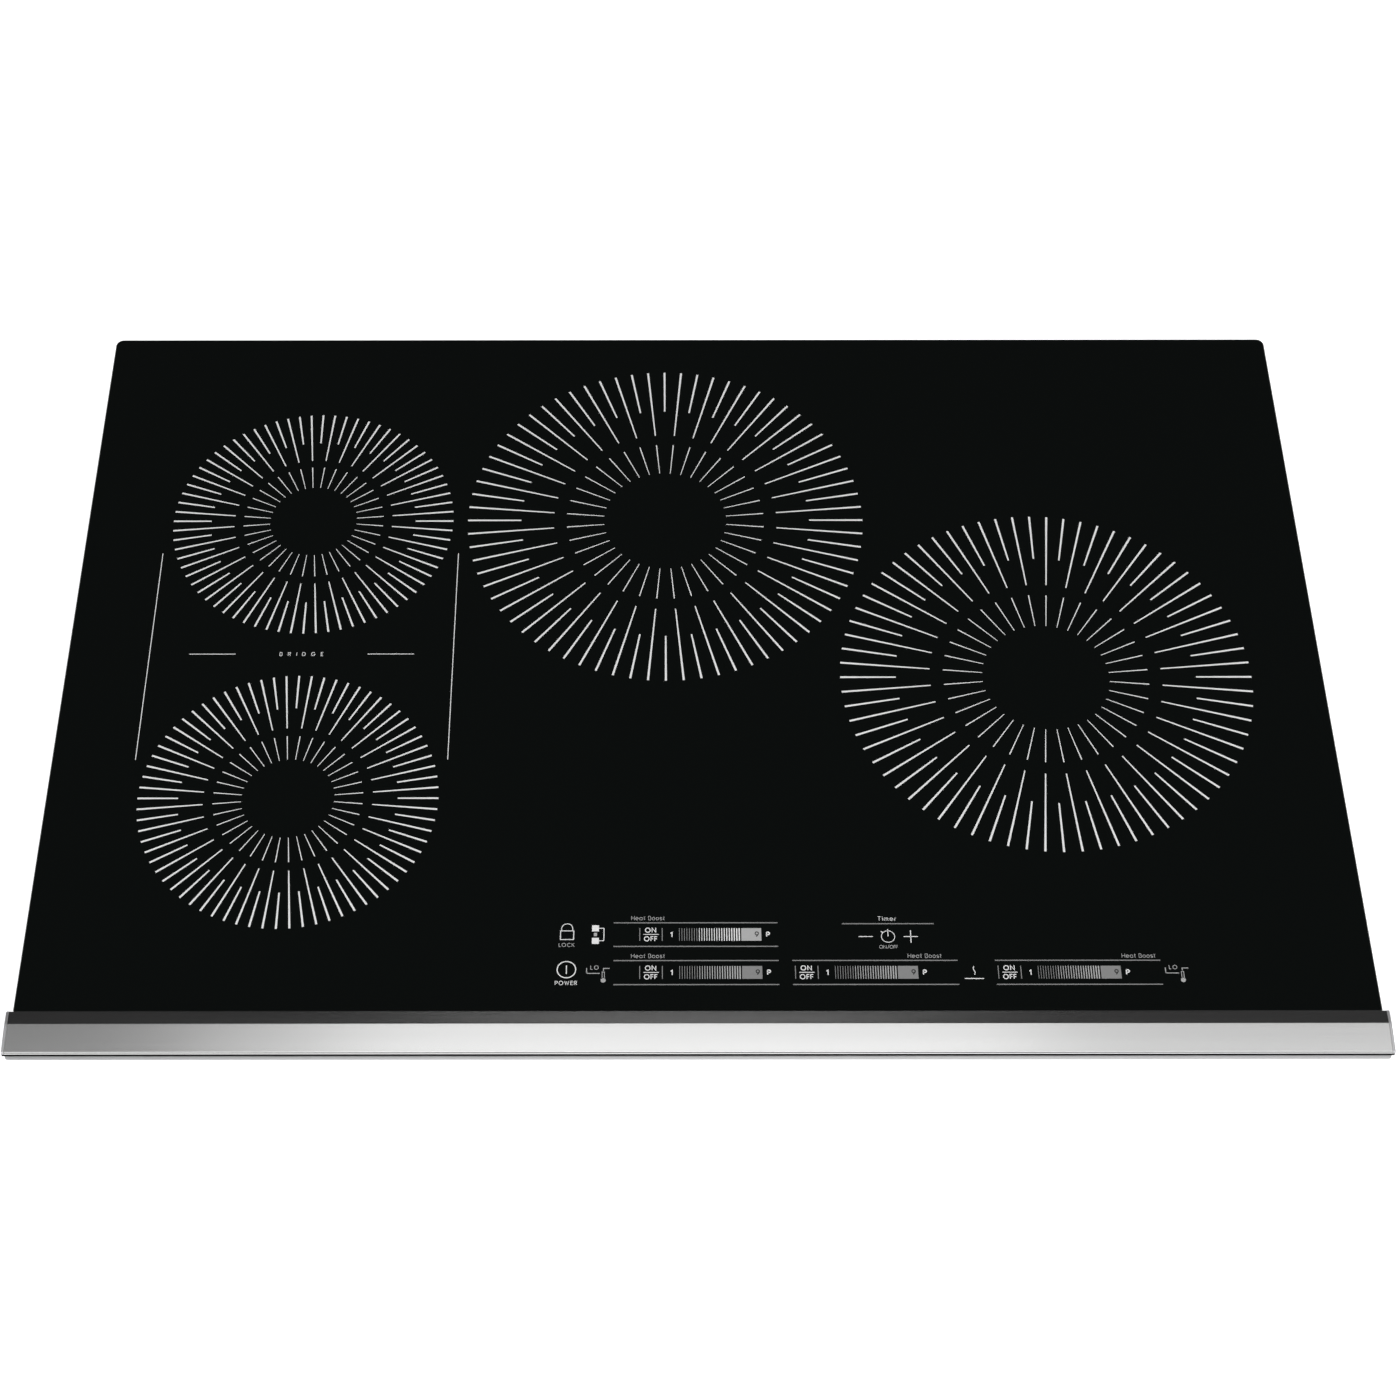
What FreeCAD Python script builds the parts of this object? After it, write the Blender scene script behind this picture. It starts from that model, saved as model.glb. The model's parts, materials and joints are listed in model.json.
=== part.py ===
import FreeCAD, Part
import math
import os
import re
import Sketcher

# A built-in induction cooktop: a glass-ceramic plate with a metal trim along its front edge,
# bonded on a stepped sheet-steel box that hangs through the worktop and holds the coils, the
# power electronics, two blowers and the touch controls.
#
# Axes: +X to the user's right, +Y away from the user, +Z up. The origin is at the middle of the
# box's underside, half way between the trim's front lip and the glass's rear edge. Millimetres.

Vector = FreeCAD.Vector
doc = FreeCAD.newDocument("induction_cooktop")
sub_parts = []


# ---------------------------------------------------------------- driving dimensions

DIMENSIONS = {
    # whole cooktop
    "overall_width": 781, "overall_depth": 540, "worktop_level": 97.4,
    # glass plate
    "glass_width": 773.7, "glass_depth": 519, "glass_thick": 4, "glass_level": 100,
    "glass_corner": 5, "glass_bevel": 0.5,
    # front trim
    "lip_height": 1.2, "lip_depth": 8.5, "lip_bevel": 0.7, "slope_degrees": 7,
    "slope_depth": 17.5, "nose_radius": 1.2, "cover_thick": 1, "cover_hem": 102,
    "trim_lip_depth": 2, "trim_lip_height": 0.8, "trim_lip_level": 99, "lip_corner": 1.8,
    "lip_rounding": 0.12,
    "carrier_gap": 0.2, "carrier_wall": 1.4, "seal_setback": 0.1, "seal_inset": 0.4,
    "cap_thick": 2, "cap_edge": 0.9, "cap_bevel": 0.3,
    # gasket and adhesive
    "gasket_strip": 12, "gasket_inset": 5, "bead_thick": 1, "bead_wide": 9, "bead_inset": 2,
    # burner box
    "sheet": 1, "box_width": 708, "box_rear": 247, "box_front": 247, "step_back": 72,
    "shelf_level": 57, "box_corner": 2.5, "flange_wide": 14, "flange_front": 2,
    "flange_rear": 5, "slot_wide": 4, "slot_pitch": 9, "slot_height": 22, "slot_level": 16,
    "slot_row_gap": 8, "slot_cut": 10, "intake_slots_radius": 30,
    # hold-down clamps
    "clamp_reach": 60, "clamp_axis": 360.5, "clamp_sheet": 1.6, "clamp_low": 8, "clamp_high": 92,
    "screw_radius": 2.5, "nut_size": 8, "nut_height": 6, "nut_level": 24, "arm_thick": 3,
    "arm_tip": 6, "bracket_front": -10, "bracket_wide": 42, "ear_reach": 12, "ear_wide": 16,
    "ear_thick": 2, "clamp_head": 4.5, "clamp_head_high": 4,
    # fasteners
    "fastener_radius": 1.9, "fastener_head": 3.8, "fastener_head_height": 2.2,
    "fastener_length": 6, "clamp_fastener_y": 22, "fastener_drop": 7, "clearance": 0.1,
    # supply inlet
    "inlet_x": -200, "inlet_level": 24, "inlet_radius": 14, "inlet_bore": 9.5,
    "inlet_length": 19, "collar_wide": 4, "collar_thick": 3, "locknut_thick": 4,
    # coils, all measured from each zone's rim or from the glass
    "deck_level": 58, "deck_sheet": 1.5, "deck_front": -177, "deck_flange": 14,
    "mica_thick": 0.8, "mica_gap": 0.2, "winding_thick": 4.5, "winding_inset": 6,
    "carrier_thick": 5.5, "carrier_inset": 2, "coil_hole": 10, "ferrite_deep": 4,
    "ferrite_wide": 15, "ferrite_count": 8, "spring_radius": 5, "spring_wire": 0.9,
    # blowers
    "fan_x": 255, "fan_y": -105, "scroll_radius": 56, "scroll_high": 33, "scroll_wall": 1.5,
    "intake_radius": 34, "impeller_radius": 48, "blade_length": 10, "blade_thick": 1.2,
    "blade_count": 32, "hub_radius": 16, "motor_radius": 12,
    # electronics
    "board_thick": 1.6, "standoff": 8, "power_board_width": 190, "power_board_depth": 236,
    "power_board_front": -36, "power_board_x": 250, "sink_width": 70, "sink_length": 200,
    "sink_base": 6, "fin_high": 26, "fin_thick": 1.6, "fin_count": 12,
    # touch controls
    "touch_left": -95, "touch_width": 375, "touch_front": -238, "touch_depth": 59,
    "touch_level": 86, "key_radius": 3.5,
}

# Cooking zones: middle (x, y) on the plate and radius.
ZONES = {
    "left_front": (-242.6, -98.7, 89.6),
    "left_rear": (-242.6, 112.9, 89.6),
    "centre_rear": (-17.2, 113.4, 126.4),
    "right_front": (216.3, -10.4, 126.4),
}

SIDES = {"left": -1, "right": 1}

dims = doc.addObject("Spreadsheet::Sheet", "dims")
for row, (alias, value) in enumerate(DIMENSIONS.items(), start=1):
    dims.set(f"A{row}", alias)
    dims.set(f"B{row}", str(value))
    dims.setAlias(f"B{row}", alias)
for zone, triple in ZONES.items():
    for field, value in zip(("x", "y", "radius"), triple):
        row += 1
        dims.set(f"A{row}", f"{zone}_{field}")
        dims.set(f"B{row}", str(value))
        dims.setAlias(f"B{row}", f"{zone}_{field}")
doc.recompute()


ALIASES = list(DIMENSIONS) + [f"{zone}_{field}" for zone in ZONES for field in ("x", "y", "radius")]


def formula(text):
    """Writes a formula's sheet names out in full: glass_depth becomes dims.glass_depth."""
    def full_name(match):
        word = match.group(0)
        return "dims." + word if word in ALIASES else word
    return re.sub(r"[a-z_]+", full_name, str(text))


def number(text):
    return float(dims.evalExpression(formula(text)))


# ---------------------------------------------------------------- helpers

def bind(thing, **sizes):
    for name, text in sizes.items():
        thing.setExpression(name, formula(text))


def place(thing, corner, rotation=None):
    if rotation:
        thing.Placement = FreeCAD.Placement(Vector(), rotation)
    for axis, text in zip("xyz", corner):
        thing.setExpression("Placement.Base." + axis, formula(text))


def block(corner, extent, rotation=None):
    """A box from its low corner and its extent along X, Y and Z, all formulas."""
    thing = doc.addObject("Part::Box", "block")
    bind(thing, Length=extent[0], Width=extent[1], Height=extent[2])
    place(thing, corner, rotation)
    return thing


def rod(centre, radius, length, rotation=None):
    """A cylinder from the middle of its first face, along Z unless it is rotated."""
    thing = doc.addObject("Part::Cylinder", "rod")
    bind(thing, Radius=radius, Height=length)
    place(thing, centre, rotation)
    return thing


def turned(degrees):
    return FreeCAD.Rotation(Vector(0, 0, 1), degrees)


ALONG_X = FreeCAD.Rotation(Vector(0, 1, 0), 90)
ALONG_Y = FreeCAD.Rotation(Vector(1, 0, 0), -90)


def joined(pieces):
    thing = doc.addObject("Part::MultiFuse", "joined")
    thing.Shapes = pieces
    return thing


def together(pieces):
    thing = doc.addObject("Part::Compound", "together")
    thing.Links = pieces
    return thing


def without(solid, tools):
    """The solid less its tools, which do not meet each other."""
    thing = doc.addObject("Part::Cut", "cut")
    thing.Base = solid
    thing.Tool = tools[0] if len(tools) == 1 else together(tools)
    return thing


def ring(centre, outer, inner, length, rotation=None):
    return without(rod(centre, outer, length, rotation), [rod(centre, inner, length, rotation)])


def keep(thing, label):
    thing.Label = label
    sub_parts.append(thing)
    return thing


def new_body(label):
    return keep(doc.addObject("PartDesign::Body", label), label)


def new_sketch(body, role):
    """A sketch on one of the body's own origin planes, such as XY_Plane."""
    sketch = body.newObject("Sketcher::SketchObject", body.Name + "_sketch")
    plane = [feature for feature in body.Origin.OriginFeatures if feature.Role == role][0]
    sketch.AttachmentSupport = [(plane, "")]
    sketch.MapMode = "FlatFace"
    return sketch


def draw_outline(sketch, corners):
    """A closed outline whose corners are pairs of formulas, each bound to the sheet."""
    first = sketch.GeometryCount
    points = [Vector(number(across), number(up), 0) for across, up in corners]
    for index, point in enumerate(points):
        sketch.addGeometry(Part.LineSegment(point, points[(index + 1) % len(points)]))
    for index, corner in enumerate(corners):
        line = first + index
        following = first + (index + 1) % len(corners)
        sketch.addConstraint(Sketcher.Constraint("Coincident", line, 2, following, 1))
        for kind, text in zip(("DistanceX", "DistanceY"), corner):
            place_rule = Sketcher.Constraint(kind, -1, 1, line, 1, number(text))
            rule = sketch.addConstraint(place_rule)
            sketch.setExpression(f"Constraints[{rule}]", formula(text))


def draw_rectangle(sketch, low, high):
    draw_outline(sketch, [low, (high[0], low[1]), high, (low[0], high[1])])


def draw_circle(sketch, radius):
    circle = sketch.addGeometry(Part.Circle(Vector(), Vector(0, 0, 1), number(radius)))
    sketch.addConstraint(Sketcher.Constraint("Coincident", circle, 3, -1, 1))
    rule = sketch.addConstraint(Sketcher.Constraint("Radius", circle, number(radius)))
    sketch.setExpression(f"Constraints[{rule}]", formula(radius))


def pad(body, sketch, length, symmetric=False):
    feature = body.newObject("PartDesign::Pad", body.Name + "_pad")
    feature.Profile = sketch
    bind(feature, Length=length)
    if symmetric:
        feature.SideType = "Symmetric"
    doc.recompute()
    return feature


def edges_where(shape, test):
    """Names of the edges whose middle point and direction pass the test."""
    names = []
    for index, edge in enumerate(shape.Edges, start=1):
        middle = edge.valueAt((edge.FirstParameter + edge.LastParameter) / 2)
        along = edge.tangentAt(edge.FirstParameter)
        if test(middle, along):
            names.append(f"Edge{index}")
    return names


def dress(body, kind, base, size, test):
    """A fillet or chamfer on the edges of the base feature that pass the test."""
    feature = body.newObject("PartDesign::" + kind, body.Name + "_" + kind.lower())
    feature.Base = (base, edges_where(base.Shape, test))
    bind(feature, **{"Radius" if kind == "Fillet" else "Size": size})
    doc.recompute()
    return feature


def near(value, text, margin=0.05):
    return abs(value - number(text)) < margin


# Levels and lines that several sub-parts share, as formulas.
REAR = "overall_depth / 2"
GLASS_FRONT = "overall_depth / 2 - glass_depth"
GLASS_TOP = "glass_level + glass_thick"
TRIM_REAR = "lip_depth + trim_lip_depth + slope_depth - overall_depth / 2"
TRIM_TOP = "glass_level + glass_thick + lip_height"
CREST = "trim_lip_depth + slope_depth - overall_depth / 2"
NOSE = "trim_lip_depth - overall_depth / 2"
NOSE_TOP = "glass_level + glass_thick + lip_height - slope_depth * tan( slope_degrees )"
COVER_WIDTH = "overall_width - 2 * cap_thick"
LIP_TOP = "trim_lip_level + trim_lip_height"
CARRIER_FRONT = NOSE + " + nose_radius + carrier_gap"
CARRIER_BACK = CARRIER_FRONT + " + carrier_wall"
CARRIER_UNDERSIDE = "glass_level + carrier_gap"
STEP = "step_back - box_front"
FLOOR = "sheet"
DECK_TOP = "deck_level + deck_sheet"


# ---------------------------------------------------------------- glass plate

def make_glass_top():
    body = new_body("glass_top")
    sketch = new_sketch(body, "XY_Plane")
    draw_rectangle(sketch, ("-glass_width / 2", GLASS_FRONT), ("glass_width / 2", REAR))
    plate = pad(body, sketch, "glass_thick")

    def rear_corner(middle, along):
        return abs(along.z) > 0.99 and near(middle.y, REAR)

    rounded = dress(body, "Fillet", plate, "glass_corner", rear_corner)

    def upper_edge(middle, along):
        return near(middle.z, "glass_thick") and middle.y > number(GLASS_FRONT) + 1

    dress(body, "Chamfer", rounded, "glass_bevel", upper_edge)
    place(body, ("0", "0", "glass_level"))


# ---------------------------------------------------------------- front trim

def pad_nosed(body, underside, width, symmetric=False):
    """Pads the cover's upper outline, closed by underside, rounds its nose and trims the hem.
    The front leg starts longer than the nose's radius, so that the fillet has room."""
    leg_end = NOSE_TOP + " - 2 * nose_radius"
    sketch = new_sketch(body, "YZ_Plane")
    draw_outline(sketch, [
        (TRIM_REAR, TRIM_TOP + " - lip_bevel"),
        (TRIM_REAR + " - lip_bevel", TRIM_TOP),
        (CREST, TRIM_TOP),
        (NOSE, NOSE_TOP),
        (NOSE, leg_end),
        (underside[0][0], leg_end),
    ] + underside)
    solid = pad(body, sketch, width, symmetric)

    def nose(middle, along):
        return abs(along.x) > 0.99 and near(middle.y, NOSE) and near(middle.z, NOSE_TOP)

    dress(body, "Fillet", solid, "nose_radius", nose)
    below_hem = new_sketch(body, "YZ_Plane")
    draw_rectangle(below_hem, (NOSE + " - 1", leg_end + " - 1"), (underside[0][0], "cover_hem"))
    trimmed = body.newObject("PartDesign::Pocket", "below_hem")
    trimmed.Profile = below_hem
    trimmed.SideType = "Symmetric"
    bind(trimmed, Length=f"2 * ( {width} )")
    doc.recompute()
    return trimmed


def make_front_trim():
    """Formed cover: a flat lip over the glass, a gentle slope and a rounded nose."""
    inside = NOSE + " + cover_thick"
    pad_nosed(new_body("front_trim"), [
        (inside, NOSE_TOP + " - cover_thick"),
        (CREST, GLASS_TOP),
        (TRIM_REAR, GLASS_TOP),
    ], COVER_WIDTH, symmetric=True)


def lip_surface(before_carrier):
    """Level of the lip's sloping top at a line this far before the carrier's front wall."""
    return f"{LIP_TOP} - ( {before_carrier} ) * tan( slope_degrees )"


def make_trim_carrier():
    """Extrusion bonded to the plate's front edge under the cover, with a lip at its foot."""
    body = new_body("trim_carrier")
    sketch = new_sketch(body, "YZ_Plane")
    back = GLASS_FRONT + " - 0.5"
    lip_front = NOSE + " - trim_lip_depth"
    draw_outline(sketch, [
        (back, CARRIER_UNDERSIDE),
        (back, GLASS_TOP + " - carrier_gap"),
        (CREST, GLASS_TOP + " - carrier_gap"),
        (CARRIER_FRONT, NOSE_TOP + " - cover_thick - carrier_gap"),
        (CARRIER_FRONT, LIP_TOP),
        (lip_front, lip_surface("trim_lip_depth + nose_radius + carrier_gap")),
        (lip_front, "trim_lip_level"),
        (CARRIER_BACK, "trim_lip_level"),
        (CARRIER_BACK, CARRIER_UNDERSIDE),
    ])
    extrusion = pad(body, sketch, COVER_WIDTH, symmetric=True)

    def lip_corner(middle, along):
        return abs(along.z) > 0.99 and near(middle.y, lip_front)

    rounded = dress(body, "Fillet", extrusion, "lip_corner", lip_corner)

    def lip_edge(middle, along):
        return abs(along.x) > 0.99 and near(middle.y, lip_front)

    dress(body, "Fillet", rounded, "lip_rounding", lip_edge)


def make_trim_seal():
    """Dark strip that closes the gap between the cover's hem and the carrier's lip."""
    body = new_body("trim_seal")
    sketch = new_sketch(body, "YZ_Plane")
    front, rear = NOSE + " + seal_setback", NOSE + " + cover_thick"
    draw_outline(sketch, [
        (front, "cover_hem"),
        (front, lip_surface("nose_radius + carrier_gap - seal_setback")),
        (rear, lip_surface("nose_radius + carrier_gap - cover_thick")),
        (rear, "cover_hem"),
    ])
    pad(body, sketch, "overall_width - 2 * seal_inset", symmetric=True)


def make_trim_end_cap(side, sign):
    """Cap with the cover's outline: rounded outside, with a fine bevel against the cover."""
    body = new_body("trim_end_cap_" + side)
    solid = pad_nosed(body, [(CARRIER_BACK, "glass_level"), (TRIM_REAR, "glass_level")], "cap_thick")
    outer_face, inner_face = ("cap_thick", "0") if sign > 0 else ("0", "cap_thick")

    def outer_rim(middle, along):
        above_hem = middle.z > number("cover_hem") + number("cover_thick") / 3
        return abs(along.x) < 0.01 and near(middle.x, outer_face) and above_hem

    rounded = dress(body, "Fillet", solid, "cap_edge", outer_rim)

    def inner_rim(middle, along):
        return abs(along.x) < 0.01 and near(middle.x, inner_face) and middle.z > number(GLASS_TOP)

    dress(body, "Chamfer", rounded, "cap_bevel", inner_rim)
    left_face = "-overall_width / 2" if sign < 0 else "overall_width / 2 - cap_thick"
    place(body, (left_face, "0", "0"))


# ---------------------------------------------------------------- gasket, adhesive and box

def rectangular_ring(label, half_width, front, rear, strip, height, level):
    body = new_body(label)
    sketch = new_sketch(body, "XY_Plane")
    draw_rectangle(sketch, ("-" + half_width, front), (half_width, rear))
    draw_rectangle(sketch, (f"{strip} - {half_width}", f"{front} + {strip}"),
                   (f"{half_width} - {strip}", f"{rear} - {strip}"))
    pad(body, sketch, height)
    place(body, ("0", "0", level))


def make_worktop_gasket():
    rectangular_ring("worktop_gasket", "( glass_width / 2 - gasket_inset )",
                     NOSE + " + nose_radius + 2", REAR + " - gasket_inset", "gasket_strip",
                     "glass_level - worktop_level", "worktop_level")


def make_glass_adhesive():
    rectangular_ring("glass_adhesive", "( box_width / 2 + flange_wide - bead_inset )",
                     "-box_front", "box_rear + bead_inset", "bead_wide",
                     "bead_thick", "glass_level - bead_thick")


def stepped_solid(name, inset):
    """The stepped outline of the box, drawn in from its outer faces by inset."""
    body = doc.addObject("PartDesign::Body", name)
    sketch = new_sketch(body, "YZ_Plane")
    rim = f"glass_level - bead_thick + {inset}"
    front, rear, step = f"{inset} - box_front", f"box_rear - {inset}", f"{STEP} + {inset}"
    draw_outline(sketch, [
        (step, inset), (rear, inset), (rear, rim), (front, rim),
        (front, f"shelf_level + {inset}"), (step, f"shelf_level + {inset}"),
    ])
    solid = pad(body, sketch, f"box_width - 2 * {inset}", symmetric=True)

    def outer_corner(middle, along):
        in_step = near(middle.y, step) and near(middle.z, f"shelf_level + {inset}")
        return not near(middle.z, rim) and not in_step

    dress(body, "Fillet", solid, f"box_corner - {inset}", outer_corner)
    return body


def make_burner_box():
    """Stepped tray: shallow in front, where the controls are, deep behind; flanged outward."""
    outer = stepped_solid("outer", "0")
    inner = stepped_solid("inner", "sheet")
    reach = "( box_width / 2 + flange_wide )"
    flange = block(("-" + reach, "-box_front - flange_front", "glass_level - bead_thick - sheet"),
                   ("2 * " + reach, "box_front + flange_front + box_rear + flange_rear", "sheet"))
    tray = without(joined([outer, flange]), [inner])
    keep(without(tray, vent_slots() + fastener_holes() + [inlet_hole()]), "burner_box")


def slot_row(count, corner, extent, step):
    """Equal slots in a row; step is the formula of one step along X or Y."""
    slots = []
    for index in range(count):
        x, y, z = corner
        along_x, along_y = step
        slots.append(block((f"{x} + {index} * {along_x}", f"{y} + {index} * {along_y}", z), extent))
    return slots


# Where the rows of vent slots start, in the side walls, the rear wall and the step's front wall.
SIDE_ROWS, SIDE_COUNT = ("-150", "60"), 11
REAR_ROWS, REAR_COUNT = ("-120", "80"), 18
STEP_ROWS, STEP_COUNT = ("-318", "200"), 13
INTAKE_SLOTS = range(-3, 4)


def vent_slots():
    slots = []
    for level in ("slot_level", "slot_level + slot_height + slot_row_gap"):
        for start in SIDE_ROWS:
            slots += slot_row(SIDE_COUNT, ("-box_width / 2 - slot_cut", start, level),
                              ("box_width + 2 * slot_cut", "slot_wide", "slot_height"),
                              ("0", "slot_pitch"))
    for start in REAR_ROWS:
        slots += slot_row(REAR_COUNT, (start, "box_rear - slot_cut / 2", "slot_level"),
                          ("slot_wide", "slot_cut", "slot_height * 2"), ("slot_pitch", "0"))
    for start in STEP_ROWS:
        slots += slot_row(STEP_COUNT, (start, STEP + " - slot_cut / 2", "slot_level"),
                          ("slot_wide", "slot_cut", "slot_height"), ("slot_pitch", "0"))
    for sign in SIDES.values():
        for index in INTAKE_SLOTS:
            offset = index * number("slot_pitch")
            half = math.sqrt(number("intake_slots_radius") ** 2 - offset ** 2)
            corner = (f"{sign} * fan_x + {index} * slot_pitch - slot_wide / 2",
                      f"fan_y - {half:.3f}", "-slot_cut / 2")
            slots.append(block(corner, ("slot_wide", 2 * half, "slot_cut")))
    return slots


# Heights of the clamp brackets' screws, and where the coil deck's screws stand along the walls.
CLAMP_FASTENER_LEVELS = (30, 70)
SIDE_FASTENERS = (-163, 45, 185)
REAR_FASTENERS = (-320, -140, 60, 320)


def fastener_places():
    """Every pan-head screw through the box: the face it enters, as (x, y, z, direction)."""
    level = "deck_level - fastener_drop"
    places = []
    for sign in SIDES.values():
        clamp_face = f"{sign} * ( box_width / 2 + clamp_sheet )"
        for clamp_level in CLAMP_FASTENER_LEVELS:
            places.append((clamp_face, "clamp_fastener_y", str(clamp_level), "x", sign))
        for y in SIDE_FASTENERS:
            places.append((f"{sign} * box_width / 2", str(y), level, "x", sign))
    for x in REAR_FASTENERS:
        places.append((str(x), "box_rear", level, "y", 1))
    return places


def fastener_hole(x, y, z, axis):
    """A hole through the walls on both sides of the face that the screw enters."""
    start = (f"{x} - 8", y, z) if axis == "x" else (x, f"{y} - 8", z)
    return rod(start, "fastener_radius + clearance", "16", ALONG_X if axis == "x" else ALONG_Y)


def fastener_holes():
    return [fastener_hole(x, y, z, axis) for x, y, z, axis, sign in fastener_places()]


def make_box_screws():
    screws = []
    for x, y, z, axis, sign in fastener_places():
        rotation = ALONG_X if axis == "x" else ALONG_Y

        def set_back(start):
            return (f"{x} + {start}", y, z) if axis == "x" else (x, f"{y} + {start}", z)

        shank_start = "-fastener_length" if sign > 0 else "0"
        head_start = "0" if sign > 0 else "-fastener_head_height"
        shank = rod(set_back(shank_start), "fastener_radius", "fastener_length", rotation)
        head = rod(set_back(head_start), "fastener_head", "fastener_head_height", rotation)
        screws.append(joined([shank, head]))
    keep(together(screws), "box_screws")


def inlet_rod(start, radius, length):
    return rod(("inlet_x", start, "inlet_level"), radius, length, ALONG_Y)


def inlet_hole():
    return inlet_rod("box_rear - sheet - 1", "inlet_radius + clearance", "sheet + 2")


def make_conduit_bushing():
    """Bushing in the rear wall for the supply conduit, with a collar and a locknut."""
    end = "box_rear + collar_thick + collar_thick"
    barrel = inlet_rod(end + " - inlet_length", "inlet_radius", "inlet_length")
    collar = inlet_rod("box_rear", "inlet_radius + collar_wide", "collar_thick")
    locknut = inlet_rod("box_rear - sheet - locknut_thick", "inlet_radius + collar_wide",
                        "locknut_thick")
    bore = inlet_rod(end + " - inlet_length - 1", "inlet_bore", "inlet_length + 2")
    keep(without(joined([barrel, collar, locknut]), [bore]), "conduit_bushing")


# ---------------------------------------------------------------- hold-down clamps

def make_clamp(side, sign):
    """Bracket on the box's side wall, screw, travelling nut and swing arm."""
    wall = "box_width / 2"
    plate_x = wall if sign > 0 else f"-{wall} - clamp_sheet"
    ear_x = wall if sign > 0 else f"-{wall} - ear_reach"
    axis = f"{sign} * clamp_axis"
    plate = block((plate_x, "bracket_front", "clamp_low"),
                  ("clamp_sheet", "bracket_wide", "clamp_high - clamp_low"))
    ears = [block((ear_x, "-ear_wide / 2", level), ("ear_reach", "ear_wide", "ear_thick"))
            for level in ("clamp_low", "clamp_high - ear_thick")]
    screw_hole = rod((axis, "0", "0"), "screw_radius + clearance", "clamp_high + ear_thick")
    fixing_holes = [fastener_hole(f"{sign} * {wall}", "clamp_fastener_y", str(level), "x")
                    for level in CLAMP_FASTENER_LEVELS]
    keep(without(joined([plate] + ears), [screw_hole] + fixing_holes), "clamp_bracket_" + side)

    shank = rod((axis, "0", "clamp_low - 0.5"), "screw_radius", "clamp_high - clamp_low + 1.5")
    head = doc.addObject("Part::Prism", "head")
    head.Polygon = 6
    bind(head, Circumradius="clamp_head", Height="clamp_head_high")
    place(head, (axis, "0", "clamp_low - 0.5 - clamp_head_high"))
    keep(joined([shank, head]), "clamp_screw_" + side)

    nut = block((f"{axis} - nut_size / 2", "-nut_size / 2", "nut_level"),
                ("nut_size", "nut_size", "nut_height"))
    nut_bore = rod((axis, "0", "nut_level - 1"), "screw_radius + 0.05", "nut_height + 2")
    keep(without(nut, [nut_bore]), "clamp_nut_" + side)

    arm_level = "nut_level + nut_height + 0.2"
    bar = block((f"{axis} - nut_size / 2", "-clamp_reach", arm_level),
                ("nut_size", "clamp_reach", "arm_thick"))
    boss = rod((axis, "0", arm_level), "nut_size / 2", "arm_thick")
    tip = block((f"{axis} - nut_size / 2", "-clamp_reach", arm_level),
                ("nut_size", "arm_tip", "3 * arm_thick"))
    pivot_hole = rod((axis, "0", arm_level + " - 1"), "screw_radius + 0.3", "arm_thick + 2")
    keep(without(joined([bar, boss, tip]), [pivot_hole]), "clamp_arm_" + side)


# ---------------------------------------------------------------- coils

def make_coil_deck():
    """Aluminium sheet under the coils: its flanges are screwed to the box's walls."""
    edge_x = "( box_width / 2 - sheet - 0.6 )"
    edge_y = "( box_rear - sheet - 0.6 )"
    flange_level = "deck_level - deck_flange"
    plate = block(("-" + edge_x, "deck_front", "deck_level"),
                  ("2 * " + edge_x, edge_y + " - deck_front", "deck_sheet"))
    rear = block(("-" + edge_x, edge_y + " - deck_sheet", flange_level),
                 ("2 * " + edge_x, "deck_sheet", "deck_flange + deck_sheet"))
    flanges = [rear]
    for x in ("-" + edge_x, edge_x + " - deck_sheet"):
        flanges.append(block((x, STEP + " + 3", flange_level),
                             ("deck_sheet", edge_y + f" - ( {STEP} ) - 3", "deck_flange + deck_sheet")))
    grommets = [rod((f"{zone}_x + {zone}_radius * 0.45", f"{zone}_y", "deck_level - 5"), "9", "10")
                for zone in ZONES]
    holes = grommets + fastener_holes()
    keep(without(joined([plate] + flanges), holes), "coil_deck")


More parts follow.
